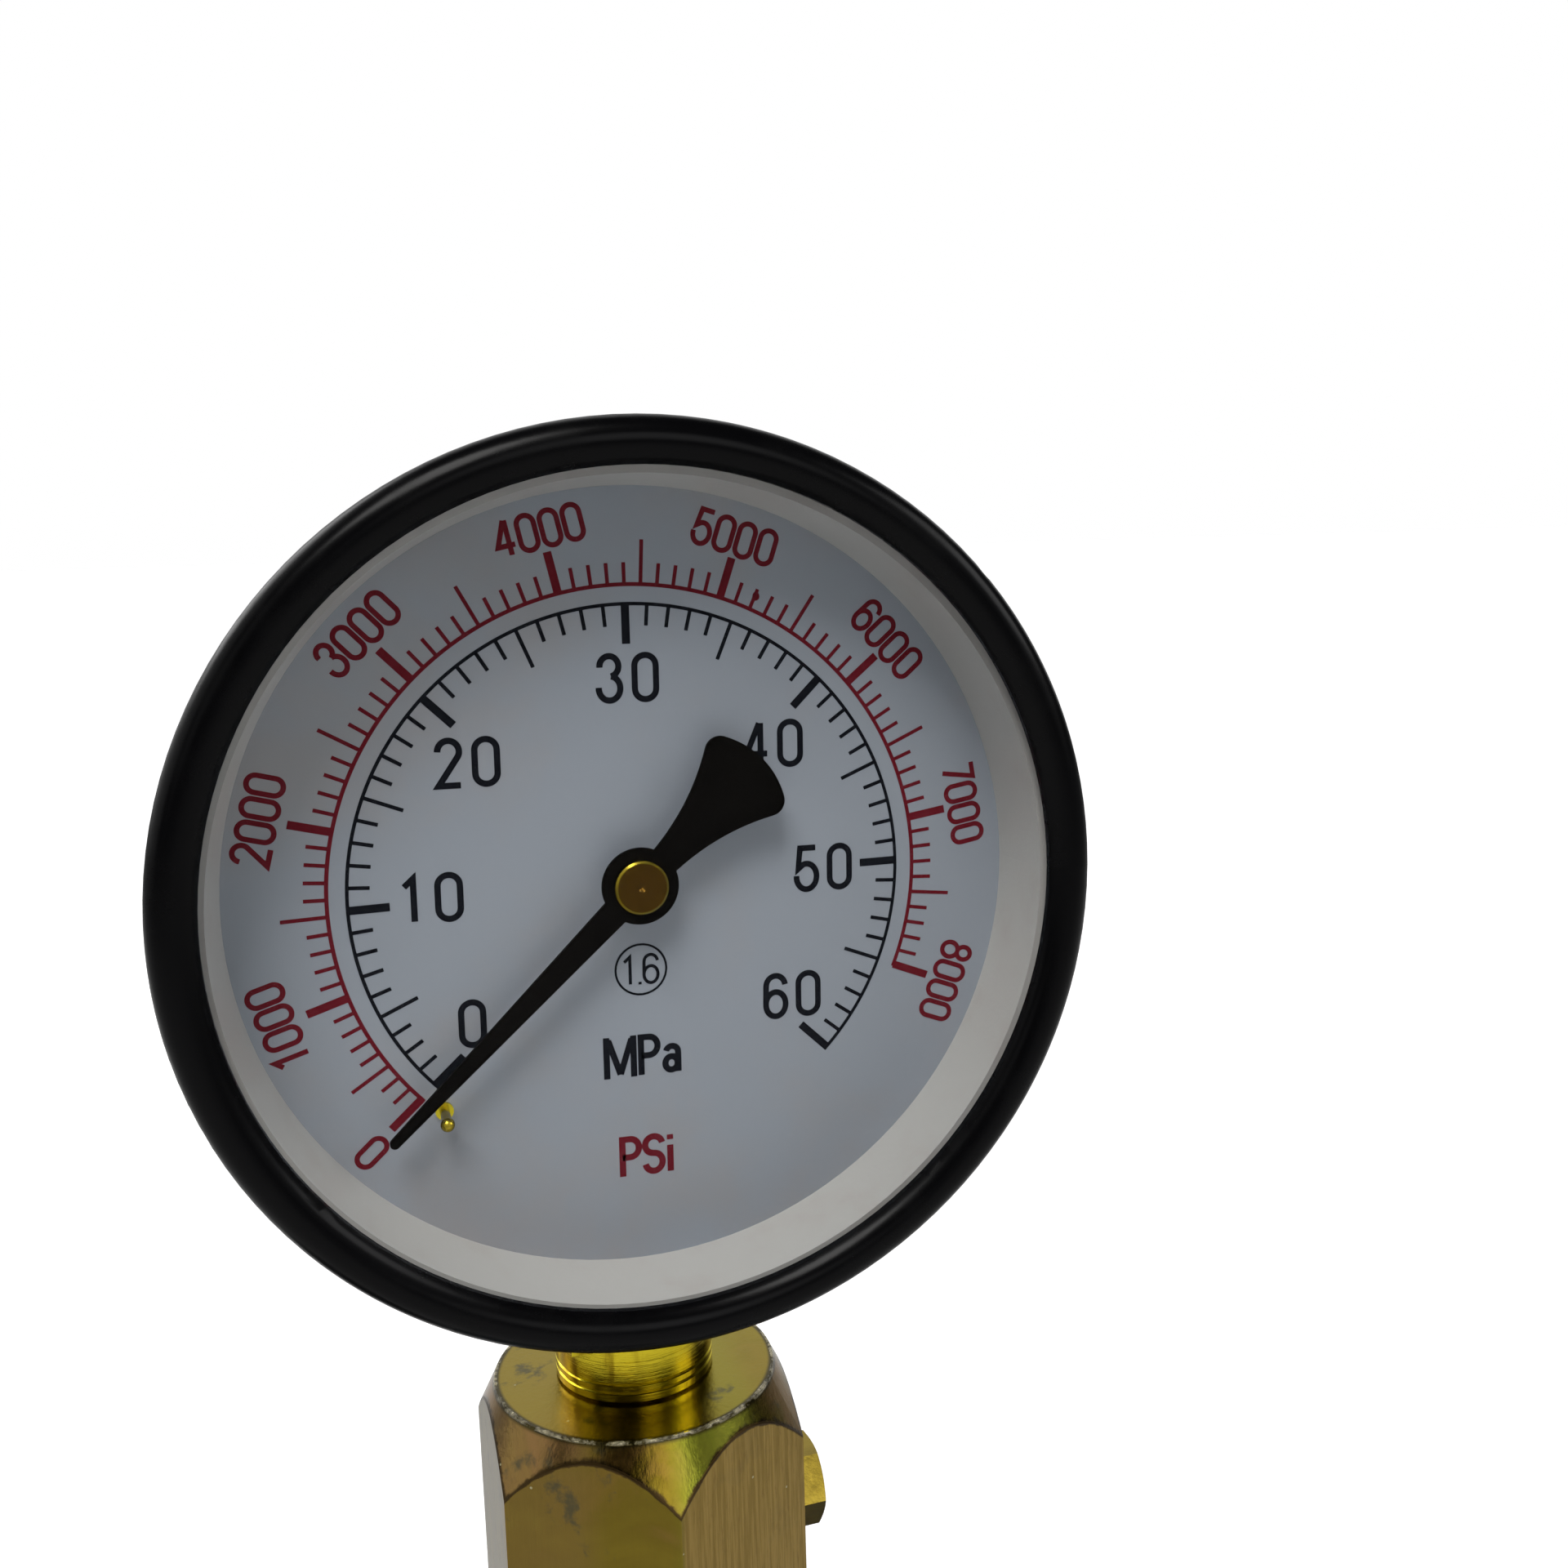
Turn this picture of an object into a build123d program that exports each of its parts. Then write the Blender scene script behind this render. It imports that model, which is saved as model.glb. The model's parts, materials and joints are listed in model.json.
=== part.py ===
from build123d import *
from math import cos, pi, radians, sin, sqrt
import os

# Bench tester for diesel injectors. Millimetres, +Z up, dial facing -Y.
# The origin is the middle of the foot's underside, and the gauge pillar
# stands on the Z axis.

# clearances
RUN = 0.05
SLIP = 0.3
OVER = 1.0
HEX_FACE_IN = 0.4

# foot and pump body
FOOT_X = 150.0
FOOT_Y = 96.0
FOOT_T = 12.0
FOOT_CORNER = 14.0
BOLT_X = 122.0
BOLT_Y = 66.0
BOLT_HOLE_D = 11.0
BOLT_FACE_D = 20.0
BOLT_FACE_DEPTH = 1.0
BLOCK_LEFT = -28.0
BLOCK_RIGHT = 54.0
BLOCK_Y = 56.0
BLOCK_TOP = 116.0
BLOCK_CORNER = 8.0
BLOCK_EDGE = 3.0
BOSS_D = 26.0
BOSS_L = 8.0

# hexagonal gauge pillar
PILLAR_AF = 41.0
PILLAR_H = 66.0
PILLAR_TURN = -27.7
PILLAR_TOP_R = 19.27
PILLAR_SLOPE = 2.03
PILLAR_FOOT_CHAMFER = 1.2
PILLAR_FOOT_IN = 0.5
STUB_D = 24.0
STUB_L = 10.5
STUB_GAP = 0.5
OIL_WAY_D = 4.0
BLEED_DOWN = 23.3
BLEED_D = 8.0
BLEED_L = 12.0
BLEED_AF = 11.0
BLEED_HEAD = 4.2
BLEED_BEVEL = 0.6
BLEED_WASHER_D = 13.0
BLEED_WASHER_T = 1.2

# pump element
PUMP_X = 38.0
BARREL_D = 16.0
BARREL_COLLAR_D = 20.0
BARREL_COLLAR_T = 8.0
BARREL_L = 28.0
BARREL_DOWN = 56.0
PLUNGER_D = 7.0
PLUNGER_IN = 9.5
PORT_D = 3.0
PORT_UP = 12.0
PLUNGER_GROOVE_W = 1.0
PLUNGER_GROOVE = 0.4
FOOT_DISC_D = 16.0
FOOT_DISC_T = 3.0
PLATE_D = 20.0
PLATE_T = 2.0
CHAMBER_D = 22.6
SPRING_WIRE_D = 1.8
SPRING_MEAN_D = 17.4
SPRING_TURNS = 4.5
SEAT_T = 4.0
SEAT_HOLE_D = 4.0
BALL_D = 6.0
HOLDER_NOSE_L = 12.0
HOLDER_THREAD_D = 22.0
HOLDER_HEAD_AF = 24.0
HOLDER_HEAD_H = 7.0
HOLDER_BORE_D = 8.0
HOLDER_BORE_L = 22.0
HOLDER_WASHER_D = 27.0
HOLDER_WASHER_T = 1.2
HOLDER_GROOVE = 2.0
BALL_SEAT_W = 0.4
VALVE_WIRE_D = 0.9
VALVE_SPRING_TURNS = 4.0
GALLERY_D = 3.0

# stop valve and outlet at the front
VALVE_UP = 5.0
VALVE_BORE_D = 10.0
VALVE_SEAT_Y = -10.0
VALVE_SEAT_D = 4.0
SPINDLE_D = 7.0
SPINDLE_FLAT = 0.3
SPINDLE_NOSE = 0.2
KNOB_GAP = 4.0
KNOB_COLLAR_L = 2.0
GLAND_AF = 17.0
GLAND_L = 9.0
GLAND_THREAD_L = 8.0
GLAND_THREAD_D = 12.0
PACKING_T = 4.0
KNOB_D = 30.0
KNOB_T = 13.0
KNOB_LOBES = 8
KNOB_CROWN = 3.0
KNOB_EDGE = 2.0
FLUTE_R = 3.4
OUTLET_THREAD_D = 14.0
OUTLET_THREAD_L = 14.0
OUTLET_AF = 19.0
OUTLET_HEX_T = 8.0
OUTLET_STUB_L = 11.0
OUTLET_BORE_D = 3.0
OUTLET_WASHER_T = 1.5
OUTLET_BEVEL = 1.0
OUTLET_CONE = 4.0
OUTLET_LIP = 2.0
WASHER_IN = 0.4

# lever and its pivot
ARM = 24.0
PIVOT_DOWN = 26.0
ARM_REST = 10.0
HANDLE_RAISE = 18.0
LEVER_T = 12.0
PIVOT_D = 8.0
PIVOT_BOSS_R = 11.0
CHEEK_R = 12.5
CHEEK_T = 9.0
ROLLER_R = 6.0
ROLLER_W = 5.0
ROLLER_PIN_D = 4.0
ROLLER_BOSS_R = 4.6
ARM_W = 7.6
ROLLER_GAP = 0.3
SLOT_BELOW = 13.2
SLOT_ABOVE = 19.2
SOCKET_D = 22.0
SOCKET_L = 34.0
SOCKET_START = 20.0
TUBE_D = 14.0
TUBE_WALL = 2.0
TUBE_END = 4.0
HANDLE_L = 250.0
GRIP_L = 105.0
GRIP_D = 27.0
GRIP_BEVEL = 3.0
GRIP_RIB = 1.0
GRIP_RIBS = 9
GRIP_PLAIN_FRONT = 8.0
GRIP_PLAIN = 20.0
GRIP_PLAIN_END = 10.0
GRIP_END = 4.0
CLIP_T = 1.0
CLIP_D = 13.0
CLIP_GROOVE = 1.0
CLIP_MOUTH_HALF = 2.4
PIVOT_OVERHANG = 1.5

# reservoir
CUP_X = -75.0
CUP_R = 30.0
CUP_WALL = 2.0
CUP_FLOOR = 4.0
CUP_H = 50.0
CUP_EDGE = 4.0
CUP_HOLLOW = 3.0
ARM_SEAT_R = 19.0
ARM_H = 14.0
ARM_Y = 26.0
RIB_T = 10.0
RIB_FOOT_Z = 30.0
CUP_BOLT_D = 10.0
CUP_BOLT_AF = 16.0
CUP_BOLT_HEAD = 6.0
CUP_BOLT_L = 12.0
CUP_WASHER_D = 24.0
CUP_WASHER_T = 1.5
STRAINER_R = 9.5
STRAINER_H = 12.0
STRAINER_WALL = 0.8
LID_T = 2.0
LID_SKIRT = 6.0
LID_WALL = 1.6
LID_KNOB_D = 14.0
LID_KNOB_H = 9.0
LID_EDGE = 1.0
LID_NECK_IN = 3.0
LID_NECK_H = 3.0
PLUG_D = 8.0
PLUG_L = 8.0
PLUG_IN = 0.5
INLET_D = 5.0

# gauge body
STEM_TO_DIAL = 15.0
DIAL_UP = 72.0
BEZEL_R = 55.0
BEZEL_WALL = 2.0
BEZEL_FRONT = 14.9
BEZEL_BACK = -1.6
BEZEL_CREST_R = 2.5
BEZEL_NOSE = 2.7
BEZEL_INNER_DROP = 1.6
LIP_W = 5.5
BEZEL_FIT = 0.3
CASE_STEP = 1.9
CASE_WALL = 1.3
CASE_BACK = -32.0
CASE_BACK_CORNER = 5.0
CASE_RIM = 10.2
CASE_SCREW_D = 3.2
CASE_SCREW_L = 4.5
CASE_SCREW_HEAD_R = 3.0
CASE_SCREW_HEAD_T = 2.0
CASE_HOLE = 3.0
DIAL_FIT = 0.2
DIAL_T = 1.0
DIAL_HOLE_D = 7.0
SPACER_FOOT_IN = 1.1
SPACER_TOP_IN = 0.1
SPACER_SHIFT_X = 0.3
SPACER_SHIFT_Z = -0.7
SPACER_PLAY = 0.85
LENS_T = 2.0
LENS_FIT = 0.3
GASKET_T = 0.3
GASKET_IN = 0.3
STOP_PIN_D = 1.2
STOP_PIN_H = 5.0
STOP_BALL_R = 0.85
STOP_COLLAR_D = 2.2
STOP_COLLAR_T = 0.4
STOP_PIN_R = 36.0
STOP_PIN_ANGLE = 227.1

# gauge stem
COLLAR_R = 10.8
COLLAR_H = 8.0
COLLAR_GROOVE = 0.35
COLLAR_GROOVE_HALF = 0.25
COLLAR_GROOVES = (1.6, 2.8)
COLLAR_BEVEL = 0.4
STEM_SQUARE = 20.0
STEM_THREAD_D = 20.0
STEM_THREAD_L = 17.0
STEM_SEAL_D = 16.0
STEM_SEAL_T = 2.0
SEAL_BORE_OUT = 1.0
STEM_BLOCK_X = 22.0
STEM_BLOCK_TOP = 24.0
STEM_BORE_D = 3.0
STEM_THREAD_END = 1.0
STEM_WAY_IN = 0.3

# measuring movement, depths counted from the dial's face, backwards negative
SWEEP = 271.1
GEAR_RATIO = 10.0
POINTER_REST = 222.9
CENTRES = 20.0
PINION_TEETH = 12
TOOTH_UP = 0.20
TOOTH_DOWN = 0.36
TOOTH_ROOT_W = 0.46
TOOTH_TIP_W = 0.26
SECTOR_BEFORE = 7.5
SECTOR_AFTER = 34.5
PLATE_FRONT = 2.5
MOVE_PLATE_T = 1.5
PLATE_GAP = 5.0
MOVE_PLATE_X = 24.0
MOVE_PLATE_TOP = 9.0
MOVE_PLATE_BOTTOM = 34.0
MOVE_PLATE_CORNER = 2.5
MOVE_SCREW_R = 1.2
MOVE_SCREW_L = 5.0
MOVE_SCREW_HEAD_R = 2.0
MOVE_SCREW_HEAD_T = 1.2
WINDOW_UP = 3.0
WINDOW_SIDE = 10.0
WINDOW_H = 8.0
PILLAR_IN = 2.6
PILLAR_TOP_IN = 3.4
PILLAR_LOW_UP = 8.0
LAYER_GAP = 0.3
PLATE_PLAY = 0.1
PILLAR_D = 3.2
SECTOR_T = 1.5
SECTOR_HUB_R = 3.0
SECTOR_PIVOT_D = 2.4
SECTOR_RIM_W = 4.5
SECTOR_SIDE = 8.0
SECTOR_HUB_ROOM = 4.0
SECTOR_COLLAR_W = 0.8
TAIL_W = 2.4
TAIL_EYE_R = 2.0
TAIL_ARM = 12.0
LINK_T = 0.8
LINK_W = 3.0
LINK_PIN_R = 0.8
LINK_HOLE_R = 0.9
EAR_R = 2.6
SHAFT_D = 1.6
SHAFT_FRONT = 4.4
TUBE_R = 36.0
TUBE_SECTION_X = 5.0
TUBE_SECTION_Y = 10.0
TUBE_SKIN = 1.0
TUBE_START = -100.0
TUBE_SWEEP = 300.0
TUBE_DEPTH = 22.0
TIP_L = 6.0
TUBE_ROUND = 0.05
TUBE_CUT = 2.0
HAIR_TURNS = 8
HAIR_PITCH = 0.55
HAIR_HALF_W = 0.12
HAIR_START = 1.2
HAIR_H = 1.2
HAIR_UP = 2.0
HAIR_MASK_X = 40.0
HAIR_MASK_Y = 30.0
COLLET_W = 1.0

# pointer
POINTER_L = 42.4
POINTER_T = 0.6
POINTER_LIFT = 3.2
POINTER_HUB_R = 4.7
POINTER_ROOT_W = 3.6
POINTER_TIP_W = 1.2
TAIL_R = 21.4
TAIL_NECK_HALF = 1.9
TAIL_WAIST = 10.5
TAIL_WAIST_HALF = 3.0
TAIL_SHOULDER = 18.9
TAIL_HALF_W = 7.0
TAIL_CORNER = 1.9
BUSH_R = 3.27
BUSH_T = 1.1
BUSH_BEVEL = 0.25
BUSH_BORE_R = 1.9
BUSH_BACK = 1.0
DIMPLE_R = 0.5
DIMPLE_DEPTH = 0.3

# places worked out from the sizes above
BARREL_Z = BLOCK_TOP - BARREL_DOWN
PORT_Z = BARREL_Z + PORT_UP
ARM_Z = PORT_Z
PLUNGER_TOP = BARREL_Z + PLUNGER_IN
PIVOT_Z = BARREL_Z - PIVOT_DOWN
CASE_R = BEZEL_R - BEZEL_WALL - BEZEL_FIT
CASE_REAR_R = CASE_R - CASE_STEP
OPENING_R = BEZEL_R - LIP_W
DIAL_R = CASE_R - CASE_WALL - DIAL_FIT
SPACER_FOOT_R = OPENING_R - SPACER_FOOT_IN
SPACER_TOP_R = OPENING_R - SPACER_TOP_IN
LENS_R = CASE_R - LENS_FIT
PIVOT_X = PUMP_X + ARM
ROLLER_X = PIVOT_X - ARM * cos(radians(ARM_REST))
ROLLER_Z = PIVOT_Z - ARM * sin(radians(ARM_REST))
PLUNGER_FOOT = ROLLER_Z + ROLLER_R + ROLLER_GAP
PLATE_Z = PLUNGER_FOOT + FOOT_DISC_T
SPRING_LOW = PLATE_Z + PLATE_T
BARREL_TOP = BARREL_Z + BARREL_L
LEDGE_Z = BARREL_TOP - BARREL_COLLAR_T
SEAT_TOP = BARREL_TOP + SEAT_T
VALVE_Z = SEAT_TOP + VALVE_UP
HOLDER_THREAD_Z = SEAT_TOP + HOLDER_NOSE_L
FRONT_Y = -BLOCK_Y / 2
PILLAR_TOP = BLOCK_TOP + PILLAR_H
DIAL_Z = PILLAR_TOP + DIAL_UP
BLEED_Z = PILLAR_TOP - BLEED_DOWN
ARM_TOP = ARM_Z + ARM_H / 2
SLOT = LEVER_T + 2 * SLIP
SOCKET_BOTTOM_Z = PILLAR_TOP - STEM_THREAD_L - STEM_SEAL_T
PINION_R = CENTRES / (GEAR_RATIO + 1)
SECTOR_R = CENTRES - PINION_R
LENS_BACK = CASE_RIM
GASKET_BACK = LENS_BACK + LENS_T
LIP_BACK = GASKET_BACK + GASKET_T
LAYER_PLATE_BACK = -(DIAL_T + PLATE_FRONT + MOVE_PLATE_T)
LAYER_REAR_PLATE = LAYER_PLATE_BACK - PLATE_GAP
BLOCK_FACE = LAYER_REAR_PLATE - MOVE_PLATE_T
SECTOR_FRONT = LAYER_PLATE_BACK - 2 * LAYER_GAP
LINK_FRONT = SECTOR_FRONT - SECTOR_T - LAYER_GAP
TAIL_REST = -90.0 - SWEEP / GEAR_RATIO / 2


def save(name, shape):
    """Write one piece, or one group of like pieces, to its own file."""
    export_step(shape, f"parts/{name}.step")


def disc(radius, z0, z1, x=0.0, y=0.0):
    """Upright cylinder between two heights."""
    return Pos(x, y, (z0 + z1) / 2) * Cylinder(radius, z1 - z0)


def rod_y(radius, y0, y1, x=0.0, z=0.0):
    """Cylinder lying along Y between two depths."""
    return Pos(x, (y0 + y1) / 2, z) * Rot(90, 0, 0) * Cylinder(radius, y1 - y0)


def rod_x(radius, x0, x1, y=0.0, z=0.0):
    """Cylinder lying along X between two places."""
    return Pos((x0 + x1) / 2, y, z) * Rot(0, 90, 0) * Cylinder(radius, x1 - x0)


def slab(x0, x1, y0, y1, z0, z1):
    """Box given by its limits."""
    size = Box(x1 - x0, y1 - y0, z1 - z0)
    return Pos((x0 + x1) / 2, (y0 + y1) / 2, (z0 + z1) / 2) * size


def hexagon(across_flats, z0, z1):
    """Upright hexagonal bar with a flat facing -Y."""
    outline = RegularPolygon(across_flats / sqrt(3), 6)
    return Pos(0, 0, z0) * extrude(outline, z1 - z0)


def bevelled_hex(across_flats, z0, z1, cut=1.0):
    """Hexagonal head whose outer corners are turned off at the top."""
    reach = across_flats / sqrt(3) + OVER
    flat = across_flats / 2
    cone = [(0, z0), (reach, z0), (reach, z1 - cut), (flat - HEX_FACE_IN, z1), (0, z1)]
    return hexagon(across_flats, z0, z1) & turned_z(cone)


def turned_z(points):
    """Turn a profile of (radius, height) pairs about the Z axis."""
    wire = Wire.make_polygon([Vector(r, 0, z) for r, z in points], close=True)
    return revolve(Face(wire), axis=Axis.Z)


def turned_dial(points):
    """Turn a profile of (radius, distance before the dial) about its axis."""
    wire = Wire.make_polygon([Vector(r, -s, 0) for r, s in points], close=True)
    return on_dial(revolve(Face(wire), axis=Axis.Y))


def on_dial(shape):
    """Move a shape from the origin to the middle of the dial's face."""
    return Pos(0, -STEM_TO_DIAL, DIAL_Z) * shape


def dial_plate_of(sketch, front, thickness):
    """Extrude a sketch in dial axes (X right, Y up) backwards from a depth."""
    solid = extrude(sketch, -thickness)
    return on_dial(Pos(0, -front, 0) * Rot(90, 0, 0) * solid)


def dial_rod(radius, front, back, u=0.0, v=0.0):
    """Cylinder square to the dial, between two distances before its face."""
    return dial_plate_of(Pos(u, v) * Circle(radius), front, front - back)


def coil(wire_d, mean_d, turns, z0, z1, x=0.0):
    """Open coil spring standing between two heights, with flat ends."""
    low = z0 + wire_d / 2
    high = z1 - wire_d / 2
    path = Helix((high - low) / turns, high - low, mean_d / 2)
    start = Plane(origin=path @ 0, z_dir=path % 0)
    wire = sweep(start * RegularPolygon(wire_d / 2, 8), path=path)
    return Pos(x, 0, low) * wire


def block_envelope():
    """Cast block on its foot, before any hole is drilled."""
    foot = extrude(RectangleRounded(FOOT_X, FOOT_Y, FOOT_CORNER), FOOT_T)
    foot = chamfer(foot.faces().sort_by(Axis.Z)[-1].edges(), BLOCK_EDGE)
    width = BLOCK_RIGHT - BLOCK_LEFT
    middle = (BLOCK_RIGHT + BLOCK_LEFT) / 2
    block = extrude(RectangleRounded(width, BLOCK_Y, BLOCK_CORNER), BLOCK_TOP)
    block = fillet(block.faces().sort_by(Axis.Z)[-1].edges(), BLOCK_EDGE)
    return foot + Pos(middle, 0, 0) * block


def reservoir_arm():
    """Arm that carries the reservoir, with a rib down to the foot."""
    z0 = ARM_Z - ARM_H / 2
    inside = BLOCK_LEFT + BLOCK_CORNER
    arm = slab(CUP_X, inside, -ARM_Y / 2, ARM_Y / 2, z0, ARM_TOP)
    arm += disc(ARM_SEAT_R, z0, ARM_TOP, CUP_X)
    corners = [(inside, z0), (CUP_X, z0), (inside, RIB_FOOT_Z)]
    rib = Face(Wire.make_polygon([Vector(x, 0, z) for x, z in corners], close=True))
    return arm + Pos(0, RIB_T / 2, 0) * extrude(rib, RIB_T, dir=(0, -1, 0))


def lever_cheeks():
    """Two ears beside the lever slot that hold the pivot pin."""
    reach = SLOT / 2 + CHEEK_T
    ear = rod_y(CHEEK_R, -reach, reach, PIVOT_X, PIVOT_Z)
    left = BLOCK_RIGHT - BLOCK_CORNER
    web = slab(left, PIVOT_X, -reach, reach, PIVOT_Z - CHEEK_R, PIVOT_Z + CHEEK_R)
    return ear + web


def drilled_ways():
    """Every hole, bore and oil way of the pump body, as one tool."""
    spring_room = disc(CHAMBER_D / 2, ROLLER_Z - SLOT_BELOW, BARREL_Z, PUMP_X)
    cut = disc(BARREL_D / 2 + RUN, BARREL_Z, LEDGE_Z, PUMP_X)
    cut += disc(BARREL_COLLAR_D / 2 + RUN, LEDGE_Z, HOLDER_THREAD_Z, PUMP_X)
    cut += disc(HOLDER_THREAD_D / 2, HOLDER_THREAD_Z, BLOCK_TOP + OVER, PUMP_X)
    cut += disc(STUB_D / 2, BLOCK_TOP - STUB_L - STUB_GAP, BLOCK_TOP + OVER)
    cut += disc(OIL_WAY_D / 2, VALVE_Z - OIL_WAY_D / 2, BLOCK_TOP - STUB_L)
    front = FRONT_Y - BOSS_L - OVER
    cut += rod_y(VALVE_BORE_D / 2, front, VALVE_SEAT_Y, 0, VALVE_Z)
    cut += rod_y(GLAND_THREAD_D / 2, front, FRONT_Y - BOSS_L + GLAND_THREAD_L, 0, VALVE_Z)
    cut += rod_y(VALVE_SEAT_D / 2, VALVE_SEAT_Y, OIL_WAY_D / 2, 0, VALVE_Z)
    cut += rod_y(OUTLET_THREAD_D / 2, front, FRONT_Y - BOSS_L + OUTLET_STUB_L + OVER, PUMP_X, VALVE_Z)
    cut += rod_y(OUTLET_BORE_D / 2, front, 0, PUMP_X, VALVE_Z)
    gallery_y = VALVE_SEAT_Y - GALLERY_D
    cut += rod_x(GALLERY_D / 2, 0, PUMP_X, gallery_y, VALVE_Z)
    seat_end = CUP_X - ARM_SEAT_R
    cut += rod_x(INLET_D / 2, seat_end - OVER, PUMP_X, 0, ARM_Z)
    cut += rod_x(PLUG_D / 2, seat_end - OVER, seat_end + PLUG_L, 0, ARM_Z)
    cut += disc(CUP_BOLT_D / 2, ARM_TOP - CUP_BOLT_L, ARM_TOP + OVER, CUP_X)
    return cut + spring_room


def lever_slot():
    """Slot through the right wall, in which the lever swings."""
    left = PUMP_X - CHAMBER_D / 2
    right = PIVOT_X + CHEEK_R + OVER
    return slab(left, right, -SLOT / 2, SLOT / 2, ROLLER_Z - SLOT_BELOW, PIVOT_Z + SLOT_ABOVE)


def foot_holes():
    """Four bolt holes with spot faces."""
    holes = []
    for x in (-BOLT_X / 2, BOLT_X / 2):
        for y in (-BOLT_Y / 2, BOLT_Y / 2):
            holes.append(disc(BOLT_HOLE_D / 2, -OVER, FOOT_T + OVER, x, y))
            holes.append(disc(BOLT_FACE_D / 2, FOOT_T - BOLT_FACE_DEPTH, FOOT_T + OVER, x, y))
    return holes


def pump_body():
    """Cast pump body with foot, reservoir arm, bosses and lever ears."""
    body = block_envelope() + reservoir_arm() + lever_cheeks()
    for x in (0, PUMP_X):
        body += rod_y(BOSS_D / 2, FRONT_Y - BOSS_L, 0, x, VALVE_Z)
    body -= lever_slot()
    reach = SLOT / 2 + CHEEK_T + OVER
    body -= rod_y(PIVOT_D / 2, -reach, reach, PIVOT_X, PIVOT_Z)
    body -= drilled_ways()
    for hole in foot_holes():
        body -= hole
    return body


def gauge_pillar():
    """Hexagonal pillar, coned at the top, threaded for the gauge stem."""
    half = PILLAR_AF / 2
    corner = PILLAR_AF / sqrt(3)
    drop = PILLAR_SLOPE * (corner + OVER - PILLAR_TOP_R)
    outline = [
        (0, BLOCK_TOP),
        (half - PILLAR_FOOT_IN, BLOCK_TOP),
        (corner + OVER, BLOCK_TOP + PILLAR_FOOT_CHAMFER * 2),
        (corner + OVER, PILLAR_TOP - drop),
        (PILLAR_TOP_R, PILLAR_TOP),
        (0, PILLAR_TOP),
    ]
    body = hexagon(PILLAR_AF, BLOCK_TOP, PILLAR_TOP) & turned_z(outline)
    body = Rot(0, 0, PILLAR_TURN) * body
    body += disc(STUB_D / 2, BLOCK_TOP - STUB_L, BLOCK_TOP)
    body -= disc(STEM_THREAD_D / 2, SOCKET_BOTTOM_Z, PILLAR_TOP + OVER)
    body -= disc(OIL_WAY_D / 2, BLOCK_TOP - STUB_L - OVER, SOCKET_BOTTOM_Z + OVER)
    port = rod_x(BLEED_D / 2, half - BLEED_L, half + OVER, 0, BLEED_Z)
    port += rod_x(OIL_WAY_D / 4, 0, half, 0, BLEED_Z)
    return body - Rot(0, 0, PILLAR_TURN + 30) * port


def on_bleed(shape):
    """Place a shape, built upright at the origin, on the bleed port's face."""
    outward = Rot(0, 90, 0) * Rot(0, 0, 90) * shape
    return Rot(0, 0, PILLAR_TURN + 30) * Pos(PILLAR_AF / 2, 0, BLEED_Z) * outward


def bleed_washer():
    """Sealing ring under the bleed screw."""
    ring = disc(BLEED_WASHER_D / 2, 0, BLEED_WASHER_T)
    return on_bleed(ring - disc(BLEED_D / 2 + RUN, -OVER, BLEED_WASHER_T + OVER))


def bleed_screw():
    """Hexagon-headed screw that closes the bleed port."""
    head = bevelled_hex(BLEED_AF, BLEED_WASHER_T, BLEED_WASHER_T + BLEED_HEAD, BLEED_BEVEL)
    return on_bleed(head + disc(BLEED_D / 2, 1 - BLEED_L, BLEED_WASHER_T))


def pump_barrel():
    """Lapped pump barrel with its collar and side port."""
    outline = [
        (PLUNGER_D / 2 + RUN / 2, BARREL_Z),
        (BARREL_D / 2, BARREL_Z),
        (BARREL_D / 2, LEDGE_Z),
        (BARREL_COLLAR_D / 2, LEDGE_Z),
        (BARREL_COLLAR_D / 2, BARREL_TOP),
        (PLUNGER_D / 2 + RUN / 2, BARREL_TOP),
    ]
    barrel = Pos(PUMP_X, 0, 0) * turned_z(outline)
    return barrel - rod_x(PORT_D / 2, PUMP_X - BARREL_D, PUMP_X, 0, PORT_Z)


def pump_plunger():
    """Plunger with the foot that the roller lifts."""
    foot = disc(FOOT_DISC_D / 2, PLUNGER_FOOT, PLATE_Z, PUMP_X)
    rod = disc(PLUNGER_D / 2, PLATE_Z, PLUNGER_TOP, PUMP_X)
    groove_z = PLUNGER_TOP - PLUNGER_D
    groove = disc(PLUNGER_D, groove_z, groove_z + PLUNGER_GROOVE_W, PUMP_X)
    groove -= disc(PLUNGER_D / 2 - PLUNGER_GROOVE, groove_z, groove_z + PLUNGER_GROOVE_W, PUMP_X)
    return foot + rod - groove


def spring_plate():
    """Dished plate between the plunger's foot and its spring."""
    plate = disc(PLATE_D / 2, PLATE_Z, SPRING_LOW, PUMP_X)
    return plate - disc(PLUNGER_D / 2 + RUN, PLATE_Z - OVER, SPRING_LOW + OVER, PUMP_X)


def plunger_spring():
    """Return spring round the plunger, against the shoulder of the body."""
    return coil(SPRING_WIRE_D, SPRING_MEAN_D, SPRING_TURNS, SPRING_LOW, BARREL_Z, PUMP_X)


def delivery_seat():
    """Lapped disc with the seat of the delivery ball."""
    seat = disc(BARREL_COLLAR_D / 2, BARREL_TOP, SEAT_TOP, PUMP_X)
    seat -= disc(SEAT_HOLE_D / 2, BARREL_TOP - OVER, SEAT_TOP + OVER, PUMP_X)
    return seat - Pos(PUMP_X, 0, ball_z()) * Sphere(BALL_D / 2 + RUN)


def ball_z():
    """Height of the delivery ball's middle when it is shut."""
    return SEAT_TOP + sqrt((BALL_D / 2) ** 2 - (SEAT_HOLE_D / 2 + BALL_SEAT_W) ** 2)


def delivery_ball():
    """Ball of the delivery valve."""
    return Pos(PUMP_X, 0, ball_z()) * Sphere(BALL_D / 2)


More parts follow.
